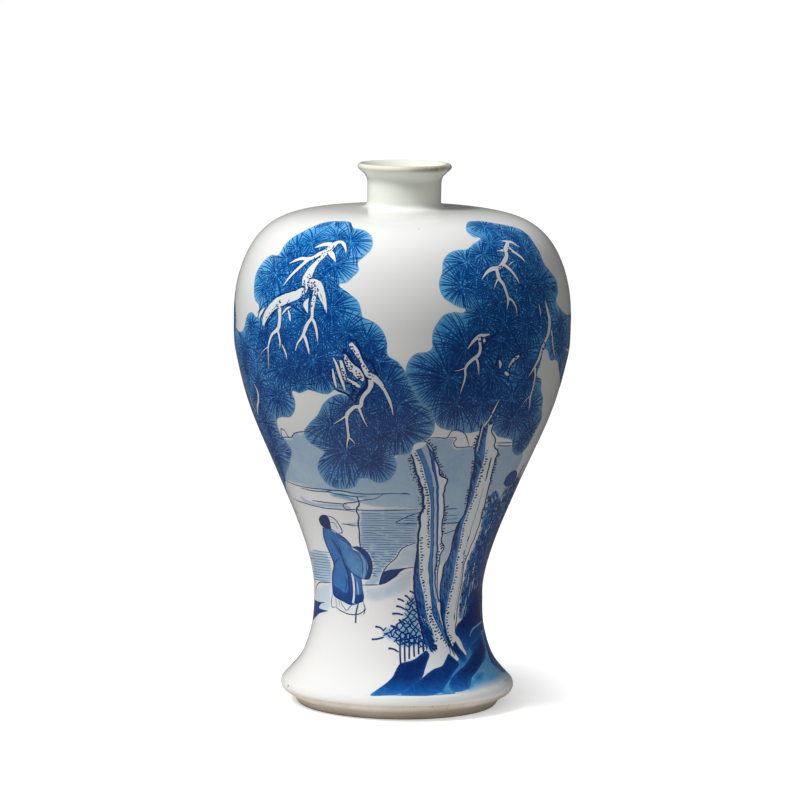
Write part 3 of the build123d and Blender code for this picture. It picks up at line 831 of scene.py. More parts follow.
mossy_bark = [

    ([(284.9, 306.1), (289.1, 300.5), (296.1, 300.5), (299.6, 297.7), (300.4, 293.5), (303.2, 290.7), (314.4, 291.4), (314.7, 297.7), (309.1, 297.9), (304.6, 300.5), (301.8, 304.4), (298.6, 310), (294.7, 308.2), (291.2, 306.3), (287.7, 306.8)], 46),
    ([(264.6, 323), (266.3, 316.7), (270.2, 311.1), (275.1, 306.5), (280, 300.5), (282.1, 301.9), (282.1, 308.2), (277.2, 310.4), (273, 313.9), (270.2, 319.5), (267, 324.4)], 36),
    ([(311.2, 297.7), (314.4, 297.7), (313.3, 312.5), (310.5, 313.2)], 5),
    ([(305.3, 276.2), (310.6, 274.3), (314.4, 280.1), (317.3, 287.7), (316.3, 297.3), (310.6, 298.3), (305.8, 295.4), (302, 295.4), (301, 289.6), (303.9, 282)], 75),
    ([(311.6, 257.6), (320.2, 254.2), (328.8, 246.6), (334.5, 243.7), (335.5, 247.5), (328.8, 253.3), (321.1, 260), (316.3, 265.7), (314.4, 264.8), (319.2, 258.1), (313.5, 260)], 18),
    ([(346.1, 361.9), (349, 362.8), (354.8, 369.8), (363.1, 371.5), (363.9, 380.6), (359.8, 379.8), (353.2, 374.8), (348.2, 369.8)], 16),
    ([(341.1, 366.5), (344.9, 371.5), (348.2, 379.8), (353.2, 383.9), (359, 389.7), (355.7, 396.3), (351.5, 396.3), (347.4, 387.2), (344, 378.1)], 60),
    ([(341, 352), (346, 356), (353, 366), (358, 374), (352, 374), (345, 366)], 26),
    ([(348.6, 346.6), (353.2, 345.8), (359, 354.9), (361.5, 362.3), (369.8, 369), (374.7, 376.4), (369.8, 376.4), (364.8, 369.8), (359.8, 364.8), (353.2, 354.9)], 30),
    ([(497.8, 266.4), (503.4, 265.7), (508.3, 269.9), (508.3, 272), (504.1, 270.6), (501.3, 272.7), (498.5, 271.3)], 14),
    ([(499.9, 274.1), (503.4, 278.3), (503.4, 282.5), (500.6, 279)], 6),
    ([(506.9, 246.8), (510.4, 248.2), (511.1, 253.1), (509, 255.9), (507.6, 251.7)], 7),
    ([(477.5, 337.5), (484.7, 335.9), (488.6, 334.4), (487, 340.7), (483.1, 347.1), (479.9, 347.1), (479.1, 340.7)], 14),
    ([(510.2, 358.3), (516.6, 353.5), (522.9, 351.9), (519.7, 357.5), (511.8, 364.7), (507.8, 367.8)], 14),
    ([(543.7, 339.1), (551.6, 334.4), (551.6, 353.5), (546.9, 346.3), (542.1, 351.9), (540.5, 364.7), (537.3, 369.4), (538.9, 358.3)], 26),
    ([(488.6, 419.7), (492.6, 409.3), (500.6, 402.9), (497.4, 414.1), (491.8, 423.7), (486.3, 431.6), (484.7, 430)], 22),
]
deep_shade = [
    ([(348.6, 340), (355.7, 340.6), (359, 347.4), (361.5, 354.9), (365.2, 359.2), (371.8, 361.9), (374.3, 369), (377.6, 376.4), (383.4, 383.5)], 2.8),
    ([(347.4, 348.2), (344.9, 350.7), (349.9, 357.4), (354, 364), (357.3, 366.5), (361.5, 367.3), (364.8, 373.1), (367.4, 379.8), (366.4, 386.4), (360.6, 391.8), (356.5, 398.8), (355.7, 403.4)], 3.3),
    ([(333.7, 388.5), (340.7, 391.5), (347.4, 394.3), (351.5, 398.8), (356.5, 403.4)], 2.2),
    ([(329.8, 368.1), (332, 376.4), (333.7, 383.9), (335.3, 388)], 1.2), ([(337, 374.8), (339.5, 380.6), (341.1, 385.6)], 2.2),
    ([(344, 348.2), (344, 351.6), (348.2, 354), (353.2, 363.2)], 4.1),
    ([(270.9, 301.2), (276.5, 296.7), (282.1, 293.9), (289.1, 292.5), (295.4, 290.4)], 1.1),
    ([(257.5, 313.2), (261.1, 307.9), (264.6, 303.3), (270.2, 300.5)], 1.1), ([(260, 320.2), (262.5, 314.6), (264.7, 309.6)], 1),
    ([(260.4, 320.9), (260.4, 329.3), (259.3, 337.7), (258.9, 343.3)], 1),
    ([(277.2, 310.4), (273.7, 313.2), (270.9, 318.8), (267.7, 324.4), (267.7, 332.1)], 1.3), ([(300.4, 307.5), (303.2, 310.4), (307.4, 313.9)], 1.5),
    ([(290.5, 306.8), (286.3, 310.4), (282.8, 316)], 1.3), ([(497, 331.6), (491.8, 336.7), (487, 340.7), (483.1, 347.1), (480.7, 354.3)], 1.8),
    ([(495.8, 362.3), (497.4, 366.3)], 1.9), ([(501, 355.9), (497.4, 359.9), (492.6, 369.4)], 1.4),
    ([(523.3, 352.3), (518.1, 357.5), (511, 364.7), (509.4, 371), (507.8, 383)], 1.8),
]
side_branches = [
    ([(-92, 178), (-95, 168), (-93, 156), (-98, 146), (-96, 134)], (4, 3.2, 2.4, 1.8, 1)), ([(-95, 164), (-101, 156), (-104, 150)], (3, 2, 1)),
    ([(76, 181), (83, 179), (91, 181), (98, 176), (103, 168)], (2, 4.5, 4, 3, 1)), ([(86, 179), (90, 171), (96, 164)], (3, 2, 1)),
]
branch_bodies, branch_lines = Sheet(), Sheet()
for way in branches:
    branch(branch_bodies, branch_lines, with_widths(seen(*[place[:2] for place in way]), [place[2] for place in way]), draw)
for way, widths in side_branches:
    branch(branch_bodies, branch_lines, with_widths(behind(*way), widths), draw)
for way, width in deep_shade:
    branch_lines.stroke(seen(*way), width * DOT, tone=0.99, lift=0.092 * MM, thin=(0.4, 0.4))
for region, count in mossy_bark:
    moss(branch_lines, seen(*region), count, draw)

# %% [markdown]
# ## Trunks
# Two old pines grow from one root. Each trunk is a row of long bands side by side: a shaded band
# of blue wash, a strip of bare glaze where the light falls, and darker lines for the folds of the
# bark. Wavering dark lines follow the edges, and rows of short bold ticks stand for the moss that
# grows on them.

# %% Brushwork of the trunks
def along_edge(edge, spacing):
    """Places along a way, with the direction in which it runs, in metres on the surface."""
    scale = (float(radius_at(np.asarray(edge)[:, 1].mean())), 1)
    way = smooth_way(np.asarray(edge) * scale, spacing)
    heading = np.gradient(way, axis=0)
    return way, heading / np.linalg.norm(heading, axis=1, keepdims=True), scale


def ticks(sheet, edge, side, draw, length=1.25 * MM, spacing=1.6 * MM, slant=0.5, width=0.85 * MM, gap=0.5 * MM):
    """A row of short strokes that stand off one side of an edge."""
    way, heading, scale = along_edge(edge, spacing)
    for place, (x, y) in zip(way[1:-1], heading[1:-1]):
        outward = np.array([-y, x]) * side
        start = place + outward * gap * draw.uniform(0.2, 1.6)
        tip = start + (outward + np.array([x, y]) * slant * draw.uniform(-1, 1)) * length * draw.uniform(0.5, 1.3)
        sheet.stroke(np.array([start, tip]) / scale, width * draw.uniform(0.8, 1.15), tone=0.95, lift=0.13 * MM, thin=(0.9, 0.7))


def ragged(sheet, edge, draw, width=0.5 * MM, tone=0.97, wander=0.25 * MM, lift=0.12 * MM):
    """A line along an edge that wavers as a drawn outline of bark does."""
    way, heading, scale = along_edge(edge, 2.2 * MM)
    normal = np.stack([-heading[:, 1], heading[:, 0]], axis=1)
    offsets = np.array([draw.uniform(-wander, wander) for _ in way])
    sheet.stroke((way + normal * offsets[:, None]) / scale, width, tone=tone, lift=lift, thin=(0.6, 0.5))


def bark(sheet, left, right, share, draw, count, length=2.0 * MM, tone=0.9, spread=0.2, lean=0.5, width=0.5 * MM):
    """Short strokes inside a band, at about this share of the way across."""
    (one, heading, scale), (two, _, _) = along_edge(left, 0.5 * MM), along_edge(right, 0.5 * MM)
    for _ in range(count):
        where = draw.random()
        a, b = one[int(where * (len(one) - 1))], two[int(where * (len(two) - 1))]
        direction = heading[int(where * (len(one) - 1))]
        across = (b - a) / (np.linalg.norm(b - a) + 1e-9)
        place = a + (b - a) * min(max(draw.gauss(share, spread), 0.04), 0.96)
        tip = place + (direction + across * draw.uniform(0, 2) * lean) * length * draw.uniform(0.5, 1.3)
        sheet.stroke(np.array([place, tip]) / scale, width * draw.uniform(0.7, 1.2), tone=tone, lift=0.105 * MM, thin=(0.8, 0.5))


# %% The two trunks
left_moss_edge = seen(
    (411, 455), (414.4, 463.6), (417.2, 475), (420.6, 483.7), (422.5, 492.3), (423, 502), (423.4, 508.6), (420.6, 513.3), (419.6, 525), (418.2, 534.4),
    (417.7, 544), (416.5, 556), (414.5, 568), (414, 580), (414.5, 592), (417, 606), (419.5, 620), (422.5, 636), (427, 650))
left_light_start = seen(
    (411.6, 453), (415, 463), (418, 475), (421.5, 483.7), (423.5, 492), (424, 502), (424.5, 509), (421.7, 514), (420.7, 525), (419.4, 535), (419, 545),
    (419.3, 556), (419.5, 566), (419.5, 575.7), (422, 587.3), (424.4, 598), (425.7, 609.6), (428.4, 620.4), (432.9, 630.2), (434.6, 641.8), (432.9, 650.7),
    (427, 660), (424, 674))
left_light_end = seen(
    (415.8, 450), (422, 463.6), (425.4, 477), (427.8, 486.6), (429.7, 496), (430.6, 505.7), (430.6, 515.3), (430.1, 524.8), (430.4, 537.3), (430, 550),
    (428.5, 562), (429.3, 578.4), (430.6, 591.8), (432, 603.4), (432.9, 615), (436.4, 623), (440.9, 631), (445.4, 641), (448.9, 648), (450, 656), (444, 668))
left_stripe_end = seen(
    (421, 448), (427.7, 463.6), (431.6, 475), (433.2, 486.6), (433.7, 500), (433.6, 520), (433.4, 540), (432.6, 560), (432.5, 578), (433.5, 592),
    (436, 603), (438.2, 612), (441, 623), (444.5, 633), (448, 642), (450.7, 648))
left_fold = seen((427, 444), (433, 456), (434.5, 470), (436.8, 483), (437.8, 500), (437.6, 520), (437.3, 540), (436.4, 560), (435, 575), (436, 590), (439, 602))
left_outline = seen(
    (424, 440.5), (431, 445.4), (433.5, 452), (435.4, 460), (439.2, 468), (440, 475), (447, 479), (445, 486), (443.5, 496), (444.5, 505), (443.5, 514), (442, 525),
    (442, 534), (441, 540), (444, 548), (441, 552), (439.3, 560), (437.5, 572), (437, 585), (438.5, 598), (440.5, 604))
left_root_line = seen((440.5, 603), (441.8, 618.6), (444.5, 627.5), (447, 639), (450.7, 647), (455.2, 651.6), (460, 660))
right_outline_left = seen(
    (481.3, 424.4), (479.4, 434), (476.6, 442.5), (475.1, 450), (475.6, 458), (474.2, 467.4), (471.8, 477), (470.3, 486.6), (468.4, 496), (466.5, 505.7),
    (465.1, 513.3), (460.3, 520), (456.5, 527.7), (453.6, 537.3), (451.7, 546.8), (448, 558), (444, 566), (441.8, 578.4), (439.6, 591.8), (440.5, 600.7), (441.8, 618.6),
    (445.5, 630), (449, 642))
right_light_start = seen(
    (488.5, 424), (486.1, 438.7), (485.2, 448.3), (484.2, 458), (481.3, 467.4), (478.5, 477), (475.6, 486.6), (473.7, 496), (468.9, 507.6), (466, 515.3),
    (463, 524), (461, 534), (459.5, 544), (457.5, 554), (455.2, 565), (453.4, 578.4), (449.8, 591.8), (447.6, 603.4), (445.4, 614), (445.8, 625.7), (448, 636.4),
    (452, 646), (456, 652))
right_outline_right = seen(
    (493, 424), (491.9, 434), (495.7, 438.7), (494.3, 447), (497.6, 451), (495.7, 458), (493.3, 467.4), (490.9, 477), (489, 486.6), (486.1, 496), (484.7, 504.7),
    (481.3, 513.3), (480.4, 520), (477.5, 528.7), (474.6, 537.3), (470.8, 546), (467.9, 553.5), (465, 560), (463.2, 567), (461.9, 578.4), (459.6, 591.8), (457.9, 603.4),
    (456.5, 615), (456, 622), (455.2, 633), (459.6, 638.2), (463, 646), (467, 655))
trunks = Sheet()
trunks.ribbon(right_outline_left, right_light_start, (0.62, 0.5, 0.56, 0.46), 0.088 * MM)
trunks.ribbon(right_light_start, right_outline_right, (0.04, 0.03, 0.03), 0.088 * MM)
trunks.ribbon(left_moss_edge, left_light_start[:len(left_moss_edge)], (0.7, 0.6), 0.094 * MM, across=3)
trunks.ribbon(left_light_start, left_light_end, (0.03, 0.03, 0.05), 0.096 * MM)
trunks.ribbon(left_light_end[:16], left_stripe_end, (0.6, 0.5, 0.55), 0.094 * MM, across=4)
trunks.ribbon(left_stripe_end[:11], left_fold, (0.22, 0.16, 0.22), 0.094 * MM, across=4)
trunks.ribbon(left_fold, left_outline, (0.05, 0.04), 0.094 * MM, across=3)
for edge, width, tone in (
    (left_moss_edge, 1.05, 0.97), (left_outline, 0.75, 0.97), (left_fold, 1.15, 0.72), (left_root_line, 1.0, 0.95), (left_light_end[10:], 0.5, 0.9), (left_stripe_end[3:], 0.4, 0.85),
    (right_outline_left, 0.8, 0.97), (right_outline_right, 0.7, 0.97), (right_light_start[20:], 0.7, 0.95),
    (seen((483.3, 424), (479.6, 439), (476.8, 452)), 0.7, 0.1), (seen((491.2, 457), (488.5, 468), (485.2, 481)), 0.85, 0.93),
    (seen((483.7, 488.5), (479, 503), (474, 519), (470.8, 530), (467, 544), (463.4, 558), (461, 574), (458, 592), (455.3, 610)), 0.3, 0.7),
    (seen((469, 536), (467.2, 541)), 0.7, 0.9), (seen((464.4, 550), (463, 555)), 0.6, 0.9), (seen((454.2, 613), (454.4, 620)), 0.6, 0.9), (seen((428.6, 448), (431.5, 458), (433.5, 472)), 0.9, 0.8),
    (seen((431.5, 566), (432.4, 585), (433.6, 600)), 0.4, 0.8),
):
    ragged(trunks, edge, draw, width=width * MM, tone=tone)
for edge, side in (
    (left_moss_edge[:7], -1), (left_moss_edge[7:9], -1), (left_light_end[:10], -1), (left_outline[:7], 1), (left_outline[9:13], 1), (left_outline[13:18], -1),
    (left_light_start[9:21], 1), (left_light_end[13:19], -1), (right_outline_left[1:4], -1), (right_outline_left[4:7], -1), (right_outline_left[7:10], -1),
    (right_light_start[2:14], 1), (right_light_start[13:23], 1), (right_outline_right[4:9], 1), (right_outline_right[10:13], 1), (right_outline_right[16:19], -1),
):
    ticks(trunks, edge, side, draw)
for edge in (left_moss_edge[:6], left_light_end[3:9]):
    ticks(trunks, edge, -1, draw, gap=1.6 * MM, length=0.6 * MM)
bark(trunks, right_outline_left, right_light_start, 0.5, draw, 300, width=0.62 * MM, spread=0.28)
bark(trunks, left_moss_edge, left_light_start, 0.5, draw, 190, length=1.3 * MM, width=0.6 * MM, spread=0.28)
bark(trunks, left_light_end[12:16], left_stripe_end[9:13], 0.5, draw, 22, length=1.2 * MM)

# %% [markdown]
# ## Rocks
# The rocks round the roots are the heaviest washes of the painting. Each is a filled outline,
# nearly full pigment at the top, bluer and thinner where the brush ran dry at the bottom, with
# streaks of the brush in it. Pale washes lie between the rocks and the foot.

# %% Rocks
def rock(sheet, outline, strength=0.98, foot=0.6, lift=0.14 * MM):
    low, high = outline[:, 1].min(), outline[:, 1].max()

    def depth_of_colour(places, apart):
        up = np.clip((places[:, 1] - low) / (0.45 * (high - low)), 0, 1)
        streak = 0.06 * np.sin(places[:, 0] * 420 + places[:, 1] * 1900)
        return (foot + (strength - foot) * up + streak) * np.clip(0.86 + apart / (4 * MM), 0, 1)

    sheet.wash(outline, depth_of_colour, lift=lift)


rocks = Sheet()
front_rocks = [
    [(472.1, 591.8), (480.2, 582.9), (482.1, 600.7), (482.9, 615), (483.8, 622.1), (481.1, 632.9), (474.8, 642.7), (470.4, 647.1), (466.8, 652.5), (464.1, 648), (459.6, 639.1), (455.2, 632.9), (456.1, 626.6), (462.3, 618.6), (470.4, 604.3)],
    [(400.7, 663.2), (415, 658.8), (422.1, 653.4), (426.6, 650.7), (429.3, 654.3), (427.5, 661.4), (424.8, 669.5), (423, 675.7), (415, 683.8), (407.9, 690), (400.7, 693.6), (384.6, 695.5), (370.4, 694.9), (376.6, 690), (386.4, 682.9), (392.7, 676.6), (396.2, 669.5), (398.9, 665)],
    [(448, 653.4), (452.5, 657), (458.8, 664.1), (454.3, 671.2), (449.8, 679.3), (445.4, 685.5), (441.8, 691.8), (434.6, 694.5), (415, 695.8), (400.7, 694.5), (415, 683.8), (423.9, 676.6), (432.9, 669.5), (442.7, 665), (445.4, 659.6)],
    [(455.2, 640.9), (458.8, 647.1), (465, 655.2), (466.3, 658.8), (462.3, 663.2), (457.9, 657), (453.4, 650.7), (452.9, 645.4)],
    [(480.5, 640.5), (484.6, 647.1), (482.9, 659.6), (477.5, 670.4), (472.1, 677.5), (469.5, 687.3), (463.2, 690.9), (454.3, 691.8), (449.8, 689.1), (450.5, 680.2), (458.5, 671), (465.5, 664.5), (471.5, 655)],
]
for outline in front_rocks:
    rock(rocks, seen(*outline))
for outline in (
    [(60, 52), (66, 44), (74, 34), (70, 26), (60, 24), (54, 30), (56, 42)],
    [(74, 22), (79, 36), (84, 50), (89, 57), (93, 46), (99, 35), (106, 24), (96, 16.5), (84, 16)],
    [(101, 20), (105, 29), (110, 38), (114, 32), (121, 24), (125, 18), (112, 15.5)],
):
    rock(rocks, behind(*outline), strength=0.92)
rocks.stroke(seen((482, 620.4), (476.6, 625.7), (471.2, 631.1), (469.5, 636.4)), 0.9 * MM, tone=0.35, lift=0.15 * MM)
rocks.wash(seen((473.9, 672.1), (479.3, 671.2), (484.6, 670.4), (484.2, 680.2), (475.7, 685.5), (467.7, 690)), lambda places, apart: 0.36 + 0.22 * np.clip(apart / (3 * MM), 0, 1), lift=0.09 * MM)


def pale(strength, fade=5 * MM):
    return lambda places, apart: 0.03 + strength * np.clip(apart / fade, 0, 1)


rocks.wash(seen((480, 628), (490, 645), (499, 661), (507, 673), (504, 680), (488, 688), (470, 693), (455, 693), (460, 680), (474, 664), (478, 650)), pale(0.36, 4 * MM), lift=0.045 * MM)
rocks.wash(seen((484, 627), (473, 641), (464, 655), (456, 662), (450, 669), (444, 677), (438, 692), (455, 693), (458, 684), (466, 674), (473, 666), (478, 657), (485, 646)), 0.5, lift=0.07 * MM)
rocks.wash(seen((364, 695), (380, 692), (404, 692), (430, 692), (445, 691), (466, 690), (462, 695), (445, 698), (420, 699), (390, 699), (370, 698)), pale(0.34, 2 * MM), lift=0.02 * MM)

# %% [markdown]
# ## Bushes and reeds
# Bushes are signs rather than pictures: a lattice of wavy crossing lines over a thin wash, twigs
# that stick out at the side, and upright strokes for reeds.

# %% Brushwork of the bushes
def lattice(sheet, region, draw, spacing, slants, width=0.7 * MM, tone=0.93, wander=0.3):
    """Wavy lines in a few directions, wherever they cross a region of the chart."""
    scale = (float(radius_at(region[:, 1].mean())), 1)
    edge = region * scale
    middle, reach = edge.mean(axis=0), np.ptp(edge, axis=0).max() * 0.75
    for slant in slants:
        forward = np.array([math.cos(slant), math.sin(slant)])
        aside = np.array([-forward[1], forward[0]])
        for shift in np.arange(-reach, reach, spacing):
            steps = np.arange(-reach, reach, spacing * 0.8)
            waves = np.array([draw.uniform(-wander, wander) * spacing + shift for _ in steps])
            way = (middle + forward * steps[:, None] + aside * waves[:, None]) / scale
            inside = within(region, way)
            runs = np.flatnonzero(np.diff(np.concatenate([[0], inside.astype(int), [0]])))
            for first, last in zip(runs[::2], runs[1::2]):
                if last - first >= 2:
                    sheet.stroke(way[first:last], width * draw.uniform(0.75, 1.15), tone=tone, lift=0.1 * MM, thin=(0.7, 0.7), step=1.1 * MM)


def net(sheet, region, draw, count, length, tone=0.92, width=0.42 * MM, slants=(0.9, 2.2)):
    """Short strokes that cross one another within a region."""
    low, high = region.min(axis=0), region.max(axis=0)
    scale = (float(radius_at(region[:, 1].mean())), 1)
    made = 0
    while made < count:
        place = np.array([draw.uniform(low[0], high[0]), draw.uniform(low[1], high[1])])
        if within(region, place[None])[0]:
            made += 1
            slant = draw.choice(slants) + draw.uniform(-0.25, 0.25)
            reach = np.array([math.cos(slant), math.sin(slant)]) * length * draw.uniform(0.6, 1.2) / 2
            bend = np.array([-reach[1], reach[0]]) * draw.uniform(-0.3, 0.3)
            sheet.stroke([place - reach / scale, place + bend / scale, place + reach / scale], width, tone=tone, lift=0.1 * MM, thin=(0.7, 0.6), step=1.2 * MM)


# %% The bush, the reeds and the thicket
bushes = Sheet()
bush = seen((415, 590.9), (409.6, 596.2), (406.1, 600.7), (404.3, 607.9), (403.4, 615), (399.8, 620.4), (391.8, 626.6), (382.9, 627.5), (382, 635.5), (388.2, 640), (395.4, 643.6), (398.9, 647.1), (407.9, 648), (415, 647.6), (423.9, 647.1), (427.5, 645.4), (429.3, 641.8), (426.6, 632.9), (422.1, 622.1), (418.6, 611.4), (417.2, 600.7))
bushes.wash(bush, pale(0.24, 2 * MM), lift=0.03 * MM)
lattice(bushes, bush, draw, 2.3 * MM, (0.75, 2.25))
lattice(bushes, seen((398.9, 632.9), (407.9, 631.1), (418.6, 631.1), (425.7, 634.6), (427.5, 645.4), (423.9, 648), (398.9, 648), (394.5, 642.7)), draw, 2.6 * MM, (0.12,), width=0.6 * MM)
mossy = seen((418.6, 615), (423.9, 618.6), (431.1, 625.7), (435.5, 641.8), (434.6, 648), (431.1, 653.4), (427.5, 649.8), (423.9, 643.6), (420.4, 632.9), (418.6, 623.9))
bushes.wash(mossy, pale(0.4, MM), lift=0.098 * MM)
for _ in range(46):
    share = draw.random()
    column, row = 620 + 130 * share + draw.uniform(-40, 40), 620 + 280 * share + draw.uniform(-40, 40)
    start = (365 + column / 11.2, 565 + row / 11.2)
    bushes.stroke(seen(start, (start[0] + 2, start[1] + 2.4), (start[0] + 3.4, start[1] + 5)), 0.75 * MM, tone=0.95, lift=0.135 * MM, thin=(0.8, 0.4))
reed_top, reed_spacing = 636, 4.6
for index in range(6):
    column = 400 + reed_spacing * index
    foot = (column + draw.uniform(-0.5, 0.5), 664 - index * 2.4)
    bushes.stroke(seen((column + 0.5, reed_top + draw.uniform(-2, 2)), (column, 648), foot), 0.85 * MM, tone=0.92, lift=0.1 * MM, thin=(0.8, 0.9))
for way in (
    [(397.6, 598.8), (400.7, 599.6), (404.3, 601.6)], [(396.2, 605.9), (400.7, 607), (405.2, 609.6)], [(392.2, 613.7), (397.1, 613.5), (403.4, 615)], [(375.3, 626.6), (380.2, 627.5), (383.8, 631.1)], [(371.7, 639.3), (376.6, 639.1), (383.8, 637.1)],
    [(388.4, 648.5), (392.7, 648.7), (395.8, 650.3), (398.5, 652.1)], [(404.7, 595.2), (407.9, 597.1), (410.5, 600.7)], [(409.6, 590.9), (412.3, 592.2), (415, 594.5)], [(398.9, 619.5), (402.5, 622.1), (405.2, 623.9)], [(390.4, 625.7), (394.5, 626.6), (398, 629.3)],
):
    bushes.stroke(seen(*way), 0.85 * MM, tone=0.93, lift=0.1 * MM, thin=(1.2, 0.8))
thicket = seen(
    (486, 497), (494, 490), (502, 505), (500, 520), (498, 532), (494, 548), (490, 566), (487, 578), (480, 592), (474, 606), (465, 617), (459, 620), (460, 600), (463, 584),
    (466, 566), (471, 552), (476, 541), (480, 530), (482, 518), (486, 508))
bushes.wash(thicket, pale(0.55, 2 * MM), lift=0.03 * MM)
net(bushes, thicket, draw, 520, 2.4 * MM, slants=(0.7, 2.3, 1.5), width=0.6 * MM)
side_thicket = behind((60, 112), (74, 118), (84, 110), (92, 98), (90, 82), (84, 66), (72, 58), (60, 62), (56, 78), (58, 96))
bushes.wash(side_thicket, pale(0.5), lift=0.028 * MM)
net(bushes, side_thicket, draw, 620, 3.0 * MM, slants=(0.7, 2.3, 1.5), width=0.5 * MM)
for _ in range(40):
    column, row = draw.uniform(462, 482), draw.uniform(570, 606)
    tone = draw.choice((0.95, 0.95, 0.15))
    bushes.stroke(seen((column, row), (column - 1, row + 7), (column - 2.5, row + 14)), 0.55 * MM, tone=tone, lift=0.105 * MM)
small_tree = [(503.3, 483.7), (506.2, 477), (512, 471.2), (516.7, 471.2), (515.8, 478.9), (510, 485.6), (506.2, 486.6)]
bushes.wash(seen(*small_tree), 0.8, lift=0.05 * MM)
for way in ([(524.4, 463.6), (516.7, 478.9), (509.1, 491.3), (501.4, 501.9), (495.7, 511.4)], [(495.7, 511.4), (491.9, 510.5), (493.3, 517.2)], [(510, 490.4), (512.9, 484.6), (514.8, 477)], [(501.4, 501.9), (505.3, 500), (508.1, 494.2)],):
    bushes.stroke(seen(*way), 1.3 * MM, tone=0.85, lift=0.06 * MM)

# %% [markdown]
# ## Water, hills and the far shore
# The distance is painted with the thinnest pigment: broad pale washes for haze and water, a single
# line for the crest of the hills, and long level lines for the lake. A wash has a soft edge where
# it fades and a firm one where it meets a line, so its tone is made from the distance to the edge.

# %% Washes of haze and water
far = Sheet()


def haze(sheet, outline, tone=0.15, fade=5 * MM, lift=0.024 * MM):
    sheet.wash(outline, lambda places, apart: tone * np.clip(apart / fade, 0, 1), lift=lift, longest=2.2 * MM)


haze(far, seen((283, 438), (289, 438.5), (294, 434), (303, 432.3), (316, 431), (326, 432), (335, 446), (348, 463), (371.3, 472), (390.4, 459), (405.7, 451), (413, 453), (418.4, 466), (422, 477), (425.5, 492.3), (427.4, 509.4), (411.5, 509.6), (400, 509), (371.3, 506.7), (346.4, 499), (323.4, 492), (304.3, 487), (292.8, 483), (281, 479), (284, 468), (285, 458), (284, 448)), tone=0.2, fade=0.5 * MM)
haze(far, seen((427.6, 437.4), (447.8, 437.8), (456.5, 438.7), (453.4, 442.6), (454.5, 446.4), (468.9, 446.8), (479.6, 446.8), (478.6, 457.8), (477.7, 467.4), (474.8, 481.8), (471.9, 496.1), (470, 513.3), (462.3, 522.5), (456.5, 523.6), (439.1, 523.9), (439.1, 509.5), (441, 496.1), (442.9, 482.7), (441, 476), (434.3, 467.4), (430.4, 455.9)), tone=0.22, fade=0.4 * MM)
haze(far, seen((492.7, 445.9), (512.9, 445.9), (523.4, 455), (513.9, 476), (505.3, 492.3), (499.5, 505.7), (495.7, 513.3), (490, 515.8), (477.3, 518.6), (481.2, 505.7), (484, 494.2), (487.9, 477), (491.7, 459.8)), tone=0.2, fade=0.8 * MM)
haze(far, seen((296.8, 492.4), (312.6, 501.6), (327.4, 502.6), (346.8, 504.4), (354.2, 509.2), (341.2, 509.5), (327.4, 508.1), (313.5, 505.5), (303.3, 501.6)), tone=0.2, fade=1.2 * MM, lift=0.03 * MM)
haze(far, seen((325.5, 492.4), (346.8, 492.9), (354.2, 497), (365.3, 499.8), (354.2, 502.6), (343.1, 499.8), (332, 497)), tone=0.34, fade=2 * MM, lift=0.034 * MM)
haze(far, seen((359.7, 510), (421.7, 509.5), (419.8, 522), (418, 542.3), (402.3, 548.8), (394.9, 559), (387.5, 565.4), (382.8, 572.8), (378.2, 583.9), (362.5, 584.4), (372.7, 572.8), (371.7, 560.8), (367.1, 553.4), (361.1, 547.9), (359.7, 529.4)), tone=0.18, fade=1.2 * MM)
haze(far, seen((378.7, 584.7), (382.8, 572.8), (387.5, 565.6), (395.8, 558), (402.3, 548.4), (417.5, 542.3), (416, 566), (406, 568), (398, 571), (388, 578)), tone=0.12, fade=0.8 * MM)
haze(far, seen((441, 524), (462, 522.5), (456, 535), (452, 550), (446, 562), (440, 566), (437, 558), (439, 540)), tone=0.14, fade=0.8 * MM)
haze(far, seen((308.9, 549.7), (321.8, 550.6), (326.4, 553.4), (332, 564.5), (332.4, 582.1), (319, 582.1), (313.5, 577.5), (312.6, 564.5)), tone=0.16, fade=2 * MM)
haze(far, seen((362.5, 584.9), (378.7, 584.9), (393, 578.4), (400.4, 571.9), (413.4, 567.8), (412.9, 586.7), (406, 594.1), (387.5, 600.6), (373.6, 603.4), (363.9, 598.7)), tone=0.11, fade=3 * MM)
haze(far, seen((316.3, 586.7), (332, 583.9), (332.4, 596), (331.1, 608), (319, 614.4), (316.3, 605.2)), tone=0.1, fade=2.5 * MM)

